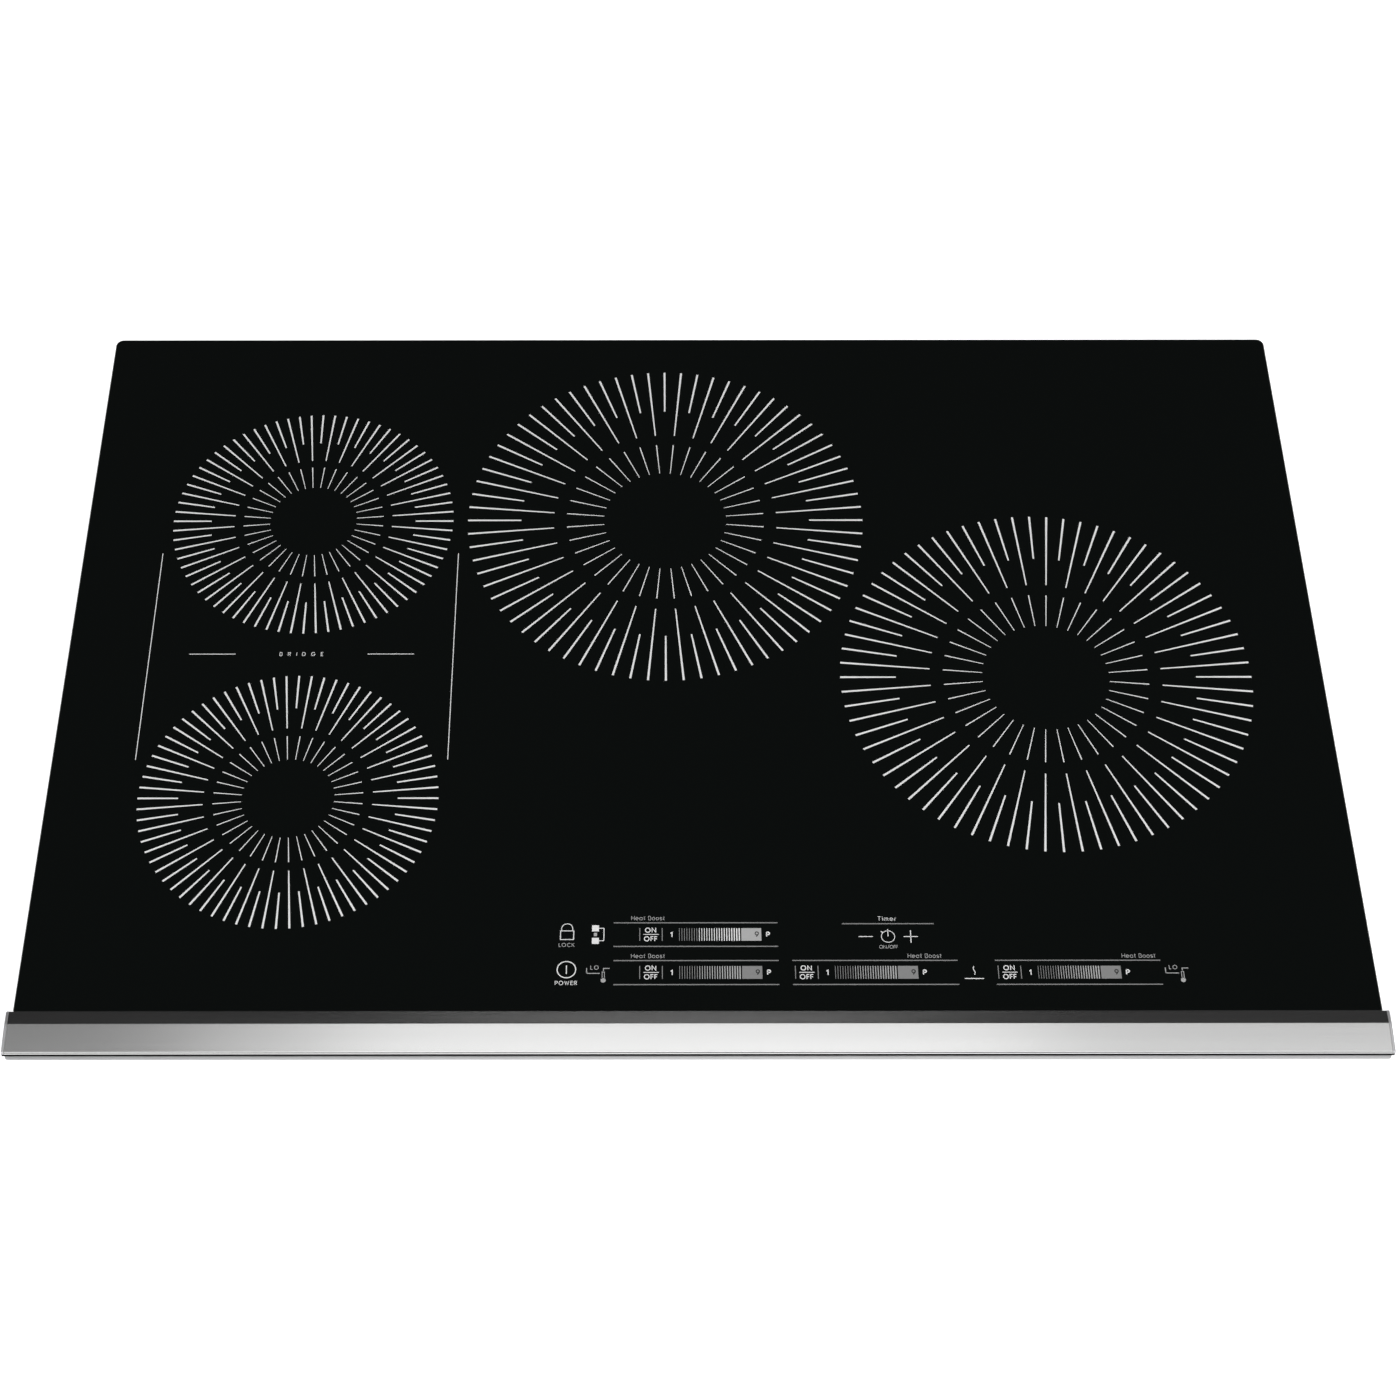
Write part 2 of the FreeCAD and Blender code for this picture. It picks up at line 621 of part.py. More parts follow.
def make_coil(zone):
    """One induction coil, top down: mica sheet, winding, carrier with ferrites, springs."""
    x, y, radius = f"{zone}_x", f"{zone}_y", f"{zone}_radius"
    mica_level = "glass_level - mica_gap - mica_thick"
    winding_level = mica_level + " - winding_thick"
    carrier_level = winding_level + " - carrier_thick"

    keep(ring((x, y, mica_level), radius + " - winding_inset + 2", "coil_hole", "mica_thick"),
         "mica_sheet_" + zone)
    keep(ring((x, y, winding_level), radius + " - winding_inset", radius + " * 0.26",
              "winding_thick"), "coil_winding_" + zone)

    carrier = new_body("coil_carrier_" + zone)
    disc = new_sketch(carrier, "XY_Plane")
    draw_circle(disc, radius + " - carrier_inset")
    draw_circle(disc, "coil_hole")
    pad(carrier, disc, "carrier_thick")
    pocket_sketch = new_sketch(carrier, "XY_Plane")
    inner, outer = f"{radius} * 0.3", f"{radius} - winding_inset - 3"
    draw_rectangle(pocket_sketch, (inner, "-ferrite_wide / 2 - 0.3"), (outer, "ferrite_wide / 2 + 0.3"))
    pocket = carrier.newObject("PartDesign::Pocket", "pocket")
    pocket.Profile = pocket_sketch
    bind(pocket, Length="ferrite_deep")
    pocket.Reversed = True
    doc.recompute()
    pattern = carrier.newObject("PartDesign::PolarPattern", "pattern")
    pattern.Originals = [pocket]
    pattern.Axis = (pocket_sketch, ["N_Axis"])
    pattern.Angle = 360
    pattern.Occurrences = int(number("ferrite_count"))
    carrier.Tip = pattern
    place(carrier, (x, y, carrier_level))

    bars = []
    for index in range(int(number("ferrite_count"))):
        angle = 360 * index / number("ferrite_count")
        cosine, sine = math.cos(math.radians(angle)), math.sin(math.radians(angle))
        reach = f"( {inner} + 0.3 )"
        corner = (f"{x} + {reach} * {cosine:.6f} + ferrite_wide / 2 * {sine:.6f}",
                  f"{y} + {reach} * {sine:.6f} - ferrite_wide / 2 * {cosine:.6f}", carrier_level)
        extent = (f"{outer} - {reach} - 0.3", "ferrite_wide", "ferrite_deep")
        bars.append(block(corner, extent, turned(angle)))
    keep(together(bars), "ferrite_bars_" + zone)

    springs = []
    for angle in (22.5, 157.5, 292.5):
        cosine, sine = math.cos(math.radians(angle)), math.sin(math.radians(angle))
        centre = (f"{x} + {radius} * 0.62 * {cosine:.6f}", f"{y} + {radius} * 0.62 * {sine:.6f}",
                  DECK_TOP)
        springs.append(ring(centre, "spring_radius", "spring_radius - spring_wire",
                            f"{carrier_level} - ( {DECK_TOP} )"))
    keep(together(springs), "coil_springs_" + zone)


def make_temperature_sensors():
    """One sensor post through the middle of each coil, up to the glass."""
    sensors = []
    for zone in ZONES:
        post = rod((f"{zone}_x", f"{zone}_y", DECK_TOP), "3.5", f"glass_level - ( {DECK_TOP} ) - 6")
        head = rod((f"{zone}_x", f"{zone}_y", "glass_level - 7"), "6", "6.8")
        sensors.append(joined([post, head]))
    keep(together(sensors), "temperature_sensors")


# ---------------------------------------------------------------- blowers

def make_fan(side, sign):
    """Centrifugal blower: intake through the box's floor, outlet to the rear."""
    x, y = f"{sign} * fan_x", "fan_y"
    scroll = rod((x, y, FLOOR), "scroll_radius", "scroll_high")
    outlet_x = f"{x} - scroll_radius" if sign < 0 else x
    outlet = block((outlet_x, y, FLOOR), ("scroll_radius", "65", "scroll_high"))
    chamber = rod((x, y, FLOOR + " + scroll_wall"), "scroll_radius - scroll_wall",
                  "scroll_high - 2 * scroll_wall")
    channel = block((outlet_x + " + scroll_wall", y, FLOOR + " + scroll_wall"),
                    ("scroll_radius - 2 * scroll_wall", "70", "scroll_high - 2 * scroll_wall"))
    intake = rod((x, y, "0"), "intake_radius", "scroll_wall + 2")
    hollow = joined([chamber, channel, intake])
    keep(without(joined([scroll, outlet]), [hollow]), "fan_housing_" + side)

    foot, crown = "4", "30"
    lower_ring = ring((x, y, foot), "impeller_radius", "impeller_radius - 2", "2")
    hub = without(rod((x, y, "14"), "hub_radius", "16"), [rod((x, y, "16"), "hub_radius - 3", "20")])
    disc = ring((x, y, "28.5"), "impeller_radius", "hub_radius - 1", "1.5")
    blades = []
    count = int(number("blade_count"))
    for index in range(count):
        angle = 360 * index / count
        cosine, sine = math.cos(math.radians(angle)), math.sin(math.radians(angle))
        reach = "( impeller_radius - blade_length - 0.3 )"
        corner = (f"{x} + {reach} * {cosine:.6f}", f"{y} + {reach} * {sine:.6f}", foot)
        blades.append(block(corner, ("blade_length", "blade_thick", f"{crown} - {foot}"),
                            turned(angle + 8 * sign)))
    keep(joined([lower_ring, hub, disc] + blades), "fan_impeller_" + side)


def make_fan_motors():
    motors = []
    for sign in SIDES.values():
        top = "sheet + scroll_high - scroll_wall"
        motors.append(rod((f"{sign} * fan_x", "fan_y", "17"), "motor_radius", top + " - 17"))
    keep(together(motors), "fan_motors")


# ---------------------------------------------------------------- power electronics

BOARD_LEVEL = "sheet + standoff"
BOARD_TOP = "sheet + standoff + board_thick"
FILTER_BOARD = {"left": "-105", "front": "10", "width": "210", "depth": "185"}


def make_power_board(side, sign):
    board_x = f"{sign} * power_board_x - power_board_width / 2"
    keep(block((board_x, "power_board_front", BOARD_LEVEL),
               ("power_board_width", "power_board_depth", "board_thick")), "power_board_" + side)

    sink_x = f"{sign} * power_board_x - sink_width / 2"
    sink_y = "power_board_front + 12"
    pieces = [block((sink_x, sink_y, BOARD_TOP), ("sink_width", "sink_length", "sink_base"))]
    count = int(number("fin_count"))
    for index in range(count):
        fin_x = f"{sink_x} + {index} * ( sink_width - fin_thick ) / {count - 1}"
        pieces.append(block((fin_x, sink_y, BOARD_TOP),
                            ("fin_thick", "sink_length", "sink_base + fin_high")))
    keep(joined(pieces), "heatsink_" + side)


def make_power_transistors():
    """Four flat packages along each long side of both heatsinks."""
    packages = []
    for sign in SIDES.values():
        for edge in ("- sink_width / 2 - 5", "+ sink_width / 2"):
            for index in range(4):
                corner = (f"{sign} * power_board_x {edge}", f"power_board_front + 30 + {index} * 45",
                          BOARD_TOP)
                packages.append(block(corner, ("5", "16", "21")))
    keep(together(packages), "power_transistors")


def make_capacitors():
    """Film capacitors along the outer edge of each power board, electrolytics on the inner."""
    pieces = []
    for sign in SIDES.values():
        for index in range(4):
            y = f"power_board_front + 20 + {index} * 50"
            pieces.append(block((f"{sign} * ( power_board_x + 70 ) - 10", y, BOARD_TOP),
                                ("20", "32", "26")))
        for index in range(3):
            y = f"power_board_front + 40 + {index} * 70"
            pieces.append(rod((f"{sign} * ( power_board_x - 68 )", y, BOARD_TOP), "13", "30"))
    keep(together(pieces), "capacitors")


def make_filter():
    board = FILTER_BOARD
    keep(block((board["left"], board["front"], BOARD_LEVEL),
               (board["width"], board["depth"], "board_thick")), "filter_board")
    chokes = [ring((x, y, BOARD_TOP), "24", "10", "16")
              for x in ("-55", "55") for y in ("60", "130")]
    keep(together(chokes), "filter_chokes")
    block_body = block(("inlet_x - 26", "202", FLOOR), ("52", "18", "24"))
    wells = [rod((f"inlet_x + {offset}", "211", FLOOR + " + 16"), "5", "20")
             for offset in ("-17", "0", "17")]
    keep(without(block_body, wells), "terminal_block")


def make_board_standoffs():
    posts = []
    boards = [(board_left, "power_board_front", "power_board_width", "power_board_depth")
              for board_left in ("power_board_x - power_board_width / 2",
                                 "-power_board_x - power_board_width / 2")]
    boards.append((FILTER_BOARD["left"], FILTER_BOARD["front"], FILTER_BOARD["width"],
                   FILTER_BOARD["depth"]))
    for left, front, width, depth in boards:
        for x in (left + " + 6", f"{left} + {width} - 6"):
            for y in (front + " + 6", f"{front} + {depth} - 6"):
                posts.append(rod((x, y, FLOOR), "3.5", "standoff"))
    keep(together(posts), "board_standoffs")


# ---------------------------------------------------------------- touch controls

TOUCH_KEYS = [(-74.8, -194), (-74.8, -215), (88, -194), (119, -194), (130, -194)]
TOUCH_KEYS += [(0, -192), (-32, -219), (90, -219), (205, -219), (245, -219)]


def make_touch_controls():
    holder_plate = block(("touch_left", "touch_front", "touch_level - 3"),
                         ("touch_width", "touch_depth", "3"))
    legs = []
    for x in ("touch_left + 8", "touch_left + touch_width / 2", "touch_left + touch_width - 8"):
        for y in ("touch_front + 8", "touch_front + touch_depth - 8"):
            legs.append(rod((x, y, "shelf_level + sheet"), "4", "touch_level - shelf_level - sheet - 3"))
    keep(joined([holder_plate] + legs), "touch_board_holder")

    board = block(("touch_left + 3", "touch_front + 3", "touch_level"),
                  ("touch_width - 6", "touch_depth - 6", "board_thick"))
    chips = [block((f"touch_left + {offset}", "touch_front + 24", "touch_level"),
                   ("12", "12", "board_thick + 1.6")) for offset in (70, 160, 320)]
    keep(joined([board] + chips), "touch_board")

    springs = [rod((x, y, "touch_level + board_thick"), "key_radius",
                   "glass_level - touch_level - board_thick") for x, y in TOUCH_KEYS]
    keep(together(springs), "touch_springs")


# ---------------------------------------------------------------- build, check and write

def check_everything():
    doc.recompute()
    for thing in doc.Objects:
        if {"Invalid", "Error"} & set(thing.State):
            raise RuntimeError(f"{thing.Label} is {thing.State}")
    labels = [thing.Label for thing in sub_parts]
    if len(set(labels)) != len(labels):
        raise RuntimeError("two sub-parts share a label")
    for thing in sub_parts:
        shape = thing.Shape
        if shape.isNull() or not shape.isValid() or not shape.Solids:
            raise RuntimeError(f"{thing.Label} has no valid solid")
        print(f"{thing.Label}: {len(shape.Solids)} solids, {shape.Volume / 1000:.2f} cm3")


def write_everything():
    os.makedirs("parts", exist_ok=True)
    for thing in sub_parts:
        thing.Shape.exportStep(f"parts/{thing.Label}.step")


make_glass_top()
make_front_trim()
make_trim_carrier()
make_trim_seal()
for side, sign in SIDES.items():
    make_trim_end_cap(side, sign)
make_worktop_gasket()
make_glass_adhesive()
make_burner_box()
make_box_screws()
make_conduit_bushing()
for side, sign in SIDES.items():
    make_clamp(side, sign)
make_coil_deck()
for zone in ZONES:
    make_coil(zone)
make_temperature_sensors()
for side, sign in SIDES.items():
    make_fan(side, sign)
make_fan_motors()
for side, sign in SIDES.items():
    make_power_board(side, sign)
make_power_transistors()
make_capacitors()
make_filter()
make_board_standoffs()
make_touch_controls()
check_everything()
write_everything()
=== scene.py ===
# %% [markdown]
# # A built-in electric induction cooktop
#
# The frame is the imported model: a black glass-ceramic plate with a metal trim along its front
# edge, on a stepped steel box that hangs through the worktop. The lesson keeps every part where
# the frame puts it. It lights the plate so that it stays black, prints the cooking zones and the
# touch controls on it, and gives each part the finish of the real one.

# %% Load the frame
import json
import math

import bpy
import numpy as np
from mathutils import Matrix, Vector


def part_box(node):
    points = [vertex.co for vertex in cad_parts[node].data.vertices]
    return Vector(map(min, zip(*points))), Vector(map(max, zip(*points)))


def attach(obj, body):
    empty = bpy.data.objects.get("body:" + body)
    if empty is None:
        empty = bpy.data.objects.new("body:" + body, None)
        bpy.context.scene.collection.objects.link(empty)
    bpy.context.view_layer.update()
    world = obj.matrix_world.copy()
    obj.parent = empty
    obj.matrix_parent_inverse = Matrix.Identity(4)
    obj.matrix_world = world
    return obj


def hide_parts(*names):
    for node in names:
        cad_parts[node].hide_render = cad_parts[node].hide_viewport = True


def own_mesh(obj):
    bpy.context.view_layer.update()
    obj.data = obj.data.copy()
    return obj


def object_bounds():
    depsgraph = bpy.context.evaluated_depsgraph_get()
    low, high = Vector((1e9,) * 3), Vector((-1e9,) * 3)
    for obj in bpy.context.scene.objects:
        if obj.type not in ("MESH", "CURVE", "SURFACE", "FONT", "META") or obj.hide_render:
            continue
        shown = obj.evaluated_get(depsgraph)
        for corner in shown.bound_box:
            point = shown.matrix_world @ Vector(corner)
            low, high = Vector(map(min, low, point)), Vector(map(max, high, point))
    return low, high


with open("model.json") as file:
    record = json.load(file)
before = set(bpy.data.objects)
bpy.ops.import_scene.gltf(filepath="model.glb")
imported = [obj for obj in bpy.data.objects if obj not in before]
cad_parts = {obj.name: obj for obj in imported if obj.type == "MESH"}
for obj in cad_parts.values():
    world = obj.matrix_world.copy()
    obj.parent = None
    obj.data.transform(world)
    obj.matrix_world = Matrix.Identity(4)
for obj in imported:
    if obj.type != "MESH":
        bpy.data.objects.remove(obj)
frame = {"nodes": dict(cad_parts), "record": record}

cad_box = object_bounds()

# %% [markdown]
# ## Where things are
#
# Printing is laid out the way a drawing of the plate gives it: millimetres from the plate's left
# edge and from the trim's rear edge, which is where the visible glass starts. Two corners from
# the frame turn such a pair into a place in the scene, so the layout follows the frame.

# %% Places read from the frame
MM = 0.001
glass_low, glass_high = (np.array(corner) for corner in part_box("glass_top"))
trim_high = np.array(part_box("front_trim")[1])
glass_level = glass_high[2]
plate_corner = np.array([glass_low[0], trim_high[1]])


def on_plate(points):
    """Layout millimetres to metres: the plate's visible front left corner plus the points."""
    return plate_corner + MM * np.asarray(points, float)


print("visible plate, mm:", np.round((glass_high[:2] - plate_corner) / MM, 1))

# %% [markdown]
# ## Camera
#
# The cooktop is seen from in front and well above, as a person standing at it would, but from
# further away through a long lens, so the plate narrows only a little towards its rear edge. The
# camera stands slightly left of the middle and is not turned aside; a small lens shift centres
# the cooktop in the picture instead. It is rolled by a hair, as a camera on a stand often is.

# %% Camera
CAMERA_LEFT = 0.0254
CAMERA_BEFORE_GLASS = 0.7182
CAMERA_ABOVE_GLASS = 1.3292
CAMERA_PITCH = 54.94
CAMERA_ROLL = -0.047
SENSOR_WIDTH, FOCAL_LENGTH = 36, 68.35
SHIFT_ASIDE = 0.0339
NEAREST_SEEN = 0.05
camera_data = bpy.data.cameras.new("camera")
camera_data.sensor_width = SENSOR_WIDTH
camera_data.lens = FOCAL_LENGTH
camera_data.shift_x = SHIFT_ASIDE
camera_data.clip_start = NEAREST_SEEN
camera = bpy.data.objects.new("camera", camera_data)
bpy.context.scene.collection.objects.link(camera)
camera.location = ((glass_low[0] + glass_high[0]) / 2 - CAMERA_LEFT,
                   plate_corner[1] - CAMERA_BEFORE_GLASS, glass_level + CAMERA_ABOVE_GLASS)
camera.rotation_euler = (math.radians(90 - CAMERA_PITCH), 0, 0)
camera.rotation_euler.rotate_axis("Z", math.radians(CAMERA_ROLL))
bpy.context.scene.camera = camera
bpy.context.scene.view_settings.view_transform = "Standard"
print("camera at", [round(value, 3) for value in camera.location])

# %% [markdown]
# ## Light
#
# Polished black glass shows whatever it mirrors, so the studio keeps the part of the sky that the
# plate mirrors towards the camera dark. A pale band lies along the horizon for the views from
# the side. A large soft box hangs in front, a card leans towards the cooktop further out, and a
# wing at each side lights the print. The floor is pale and glows a little, as a lit table does.
# The sloping trim mirrors a row of boxes, full in the middle, weaker to the right and faint to
# the left, so it darkens towards its left end. A narrow box behind the row lifts the middle of
# the trim's flat strip.

# %% Sky
SKY_STOPS = ((0.00, 1.00), (0.16, 0.90), (0.34, 0.35), (0.55, 0.03), (1.00, 0.02))
sky = bpy.data.worlds.new("studio_sky")
bpy.context.scene.world = sky
sky.use_nodes = True
sky_nodes = sky.node_tree.nodes
direction = sky_nodes.new("ShaderNodeTexCoord")
split = sky_nodes.new("ShaderNodeSeparateXYZ")
height_ramp = sky_nodes.new("ShaderNodeValToRGB")
while len(height_ramp.color_ramp.elements) < len(SKY_STOPS):
    height_ramp.color_ramp.elements.new(0.5)
for element, (height, brightness) in zip(height_ramp.color_ramp.elements, SKY_STOPS):
    element.position = height
    element.color = (brightness, brightness, brightness, 1)
sky.node_tree.links.new(direction.outputs["Generated"], split.inputs[0])
sky.node_tree.links.new(split.outputs["Z"], height_ramp.inputs[0])
sky.node_tree.links.new(height_ramp.outputs[0], sky_nodes["Background"].inputs["Color"])
print("sky stops:", len(SKY_STOPS))


# %% Soft boxes
def soft_box(name, centre, size, brightness, aim=(0, 0, 0)):
    """A rectangular light of the given radiance: its power is pi times area times radiance."""
    light = bpy.data.lights.new(name, "AREA")
    light.shape = "RECTANGLE"
    light.size, light.size_y = size
    light.energy = math.pi * size[0] * size[1] * brightness
    box = bpy.data.objects.new(name, light)
    bpy.context.scene.collection.objects.link(box)
    box.location = centre
    box.rotation_euler = aim


CARD_TILT = math.radians(60)
ROW_LEVEL = 2.2
soft_box("front_soft_box", centre=(0.2, -1.25, 2.5), size=(3.2, 2.0), brightness=1.25)
soft_box("front_card", centre=(0.2, -3.0, 1.6), size=(3.6, 2.4), brightness=1.2,
         aim=(-CARD_TILT, 0, 0))
soft_box("crest_soft_box", centre=(0.02, 0.62, ROW_LEVEL), size=(0.66, 0.16), brightness=1.6)

# Two wings light the print strongly from beside, where no shiny part mirrors them to the camera.
WING_TILT = math.radians(45)
WING_ASIDE = 2.5
for side in (-1, 1):
    soft_box(f"wing_soft_box_{side}", centre=(WING_ASIDE * side, -1.2, 2.4), size=(1.8, 1.9),
             brightness=4.4, aim=(0, side * WING_TILT, 0))

# The row that the slope mirrors: the left and right end of each box, and its brightness.
REAR_ROW = ((-1.20, -0.66, 0.42), (-0.66, -0.46, 1.05), (-0.46, 0.50, 1.72), (0.50, 1.60, 1.18))
ROW_DEPTH, ROW_BEHIND = 0.62, 0.02
for number, (left, right, brightness) in enumerate(REAR_ROW):
    soft_box(f"rear_soft_box_{number}", centre=((left + right) / 2, ROW_BEHIND, ROW_LEVEL),
             size=(right - left, ROW_DEPTH), brightness=brightness)
print("soft boxes:", len(bpy.data.lights))

# %% Floor
FLOOR_REACH = 40
FLOOR_GAP = 0.0002
floor_mesh = bpy.data.meshes.new("floor")
floor_level = float(cad_box[0][2]) - FLOOR_GAP
corners = [(x, y, floor_level) for x, y in ((-1, -1), (1, -1), (1, 1), (-1, 1))]
floor_mesh.from_pydata([(FLOOR_REACH * x, FLOOR_REACH * y, z) for x, y, z in corners], [],
                       [(0, 1, 2, 3)])
floor = bpy.data.objects.new("floor", floor_mesh)
bpy.context.scene.collection.objects.link(floor)
print("floor at", round(floor_level, 4))

# %% [markdown]
# ## Shader arithmetic
#
# A finish is mostly arithmetic on patterns: a little noise added to the roughness, a product of
# two masks. The Value class wraps an output socket, so that such sums are written as Python
# expressions, and every operator adds its own Math node. The Finish class holds the material and
# its main shader, and its node method adds any other node.


# %% Values and finishes
class Value:
    """A number that varies over a surface: an output socket that takes part in arithmetic."""

    def __init__(self, finish, socket):
        self.finish, self.socket = finish, socket

    def __add__(self, other):
        return self.finish.combine("ADD", self, other)

    def __mul__(self, other):
        return self.finish.combine("MULTIPLY", self, other)

    __radd__ = __add__
    __rmul__ = __mul__


class Finish:
    """A material under construction, with patterns on object coordinates."""

    def __init__(self, name, colour, roughness, metallic=0.0, **sockets):
        self.material = bpy.data.materials.new(name)
        self.material.use_nodes = True
        self.tree = self.material.node_tree
        self.shader = self.tree.nodes["Principled BSDF"]
        sockets.update({"Base Color": (*colour, 1), "Roughness": roughness, "Metallic": metallic})
        for socket, setting in sockets.items():
            self.shader.inputs[socket.replace("_", " ")].default_value = setting
        self.place = self.node("ShaderNodeTexCoord").outputs["Object"]

    def node(self, kind, inputs=None, **settings):
        """Any node: its settings are made first, then the values or links of its sockets."""
        node = self.tree.nodes.new(kind)
        for setting, value in settings.items():
            setattr(node, setting, value)
        for socket, value in (inputs or {}).items():
            self.feed(node.inputs[socket], value)
        return node

    def feed(self, socket, value):
        """A link where the value varies, a plain setting where it is constant."""
        if isinstance(value, Value):
            value = value.socket
        if isinstance(value, bpy.types.NodeSocket):
            self.tree.links.new(value, socket)
        else:
            socket.default_value = value

    def combine(self, operation, first, second):
        """The result of a Math node on two values or numbers."""
        node = self.node("ShaderNodeMath", {0: first, 1: second}, operation=operation)
        return Value(self, node.outputs[0])

    def stretched(self, scale):
        """Object coordinates times a scale along each axis."""
        return self.node("ShaderNodeMapping", {"Vector": self.place, "Scale": scale}).outputs[0]

    def noise(self, scale, detail=2.0, stretch=(1, 1, 1)):
        """Noise with about this many bumps to the metre, drawn out along the short stretches."""
        inputs = {"Vector": self.stretched(stretch), "Scale": scale, "Detail": detail}
        return Value(self, self.node("ShaderNodeTexNoise", inputs).outputs["Fac"])

    def cells(self, scale):
        """A grey level for each cell of a mosaic, as crystals in a zinc coat."""
        node = self.node("ShaderNodeTexVoronoi", {"Vector": self.place, "Scale": scale})
        grey = self.node("ShaderNodeSeparateColor", {0: node.outputs["Color"]})
        return Value(self, grey.outputs[0])

    def colour(self, mask, low, high):
        """Base colour between two colours, by a mask."""
        inputs = {0: mask, 6: (*low, 1), 7: (*high, 1)}
        mix = self.node("ShaderNodeMix", inputs, data_type="RGBA")
        self.feed(self.shader.inputs["Base Color"], mix.outputs[2])

    def roughness(self, value):
        self.feed(self.shader.inputs["Roughness"], value)

    def relief(self, height, depth):
        """Bump from a height pattern, depth metres from its lowest to its highest."""
        bump = self.node("ShaderNodeBump", {"Height": height, "Distance": depth, "Strength": 1.0})
        self.feed(self.shader.inputs["Normal"], bump.outputs[0])


# %% Floor finish
FLOOR_GLOW = 0.70
floor_finish = Finish("floor_paper", (0.82, 0.82, 0.82), 0.9, Emission_Color=(1, 1, 1, 1),
                      Emission_Strength=FLOOR_GLOW)
floor.data.materials.append(floor_finish.material)
print("floor finish:", floor_finish.material.name)

# %% [markdown]
# ## Glass-ceramic
#
# The plate is dark through and through and its top is fire-polished. A clear mirror would look
# like plastic, so the roughness wanders a little, as it does on a wiped plate, and a very low
# swell bends the reflections the way rolled glass does.


# %% Glass-ceramic
def glass_ceramic():
    """Near black, with a wandering polish and a swell a fraction of a millimetre high."""
    finish = Finish("glass_ceramic", (0.0031, 0.0040, 0.0037), 0.05, IOR=1.5)
    wiped = finish.noise(9, 3, (1, 3, 1))
    finish.roughness(wiped * 0.05 + 0.025)
    finish.relief(finish.noise(5, 1), 0.00015)
    return finish.material


# %% [markdown]
# ## Printing
#
# The marks are ceramic enamel, fired on: a fine matt layer that stands a few hundredths of a
# millimetre proud. Making them as real thin blocks keeps their edges sharp from any distance and
# lets them catch light when the plate is seen from low down. A bright enamel prints the rays, the
# keys and their words, a paler one the small words and most scale bars, a grey one the guide
# lines and most slider fields, and a dark one the figure on each field.


# %% Enamels
def enamel(name, brightness):
    """Matt grey of one brightness, a little uneven where the printing screen's threads lay."""
    finish = Finish(name, (brightness,) * 3, 0.42)
    screen = finish.noise(1800, 1)
    finish.colour(screen, (brightness * 0.92,) * 3, (brightness * 1.04,) * 3)
    finish.relief(screen, 0.00002)
    return finish.material


ENAMEL_SUNK = 0.03 * MM
ENAMEL_PROUD = 0.06 * MM
bright_enamel = enamel("bright_enamel", 0.84)
pale_enamel = enamel("pale_enamel", 0.43)
grey_enamel = enamel("grey_enamel", 0.24)
dark_enamel = enamel("dark_enamel", 0.006)
print("enamel, mm proud:", ENAMEL_PROUD / MM)

# %% [markdown]
# ## From arrays to meshes
#
# Every new piece is worked out as arrays. A loft is a stack of rings with the same number of
# points, joined by quads and closed at both ends; lines, letters, screws and springs are all
# lofts. A piece is then one mesh at the origin that rides on a body of the frame.


# %% Mesh helpers
def join_blocks(blocks):
    """One vertex array and one face list from many (vertices, faces) pairs."""
    starts = np.cumsum([0] + [len(vertices) for vertices, _ in blocks[:-1]])
    faces = [tuple(int(start) + corner for corner in face)
             for start, (_, block_faces) in zip(starts, blocks) for face in block_faces]
    return np.vstack([vertices for vertices, _ in blocks]), faces


def loft(rings):
    """Closed skin over rings shaped (ring, point, 3), each anticlockwise seen from its far end."""
    ring_count, point_count, _ = rings.shape
    index = np.arange(ring_count * point_count).reshape(ring_count, point_count)
    ahead = np.roll(index, -1, axis=1)
    quads = np.stack([index[:-1], ahead[:-1], ahead[1:], index[1:]], axis=-1).reshape(-1, 4)
    caps = [tuple(index[0, ::-1].tolist()), tuple(index[-1].tolist())]
    return rings.reshape(-1, 3), caps + [tuple(quad) for quad in quads.tolist()]


def new_piece(name, shape, material, body, smooth=False):
    """A mesh at the origin from (vertices, faces), riding on a body, with its material slot."""
    vertices, faces = shape
    mesh = bpy.data.meshes.new(name)
    mesh.from_pydata(vertices.tolist(), [], faces)
    mesh.materials.append(material)
    mesh.polygons.foreach_set("use_smooth", [smooth] * len(mesh.polygons))
    piece = bpy.data.objects.new(name, mesh)
    bpy.context.scene.collection.objects.link(piece)
    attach(piece, body)
    print(name, "faces:", len(faces))
    return piece


# %% [markdown]
# ## Cooking zones
#
# Each zone is a burst of fine rays. Seventy-two stand on the rim, five degrees apart: every
# other one is short, and the long ones between reach in past the middle. Thirty-six more make an
# inner ring in line with the long ones. All are narrow wedges, so each is as thin as its place on
# the circle allows, and the small zones have slightly broader ones.

# %% Rays of a zone
RIM_RAYS = 72
RAY_STEP = 360 / RIM_RAYS
SHORT_START, LONG_START, INNER_START, INNER_END = 0.730, 0.565, 0.310, 0.500


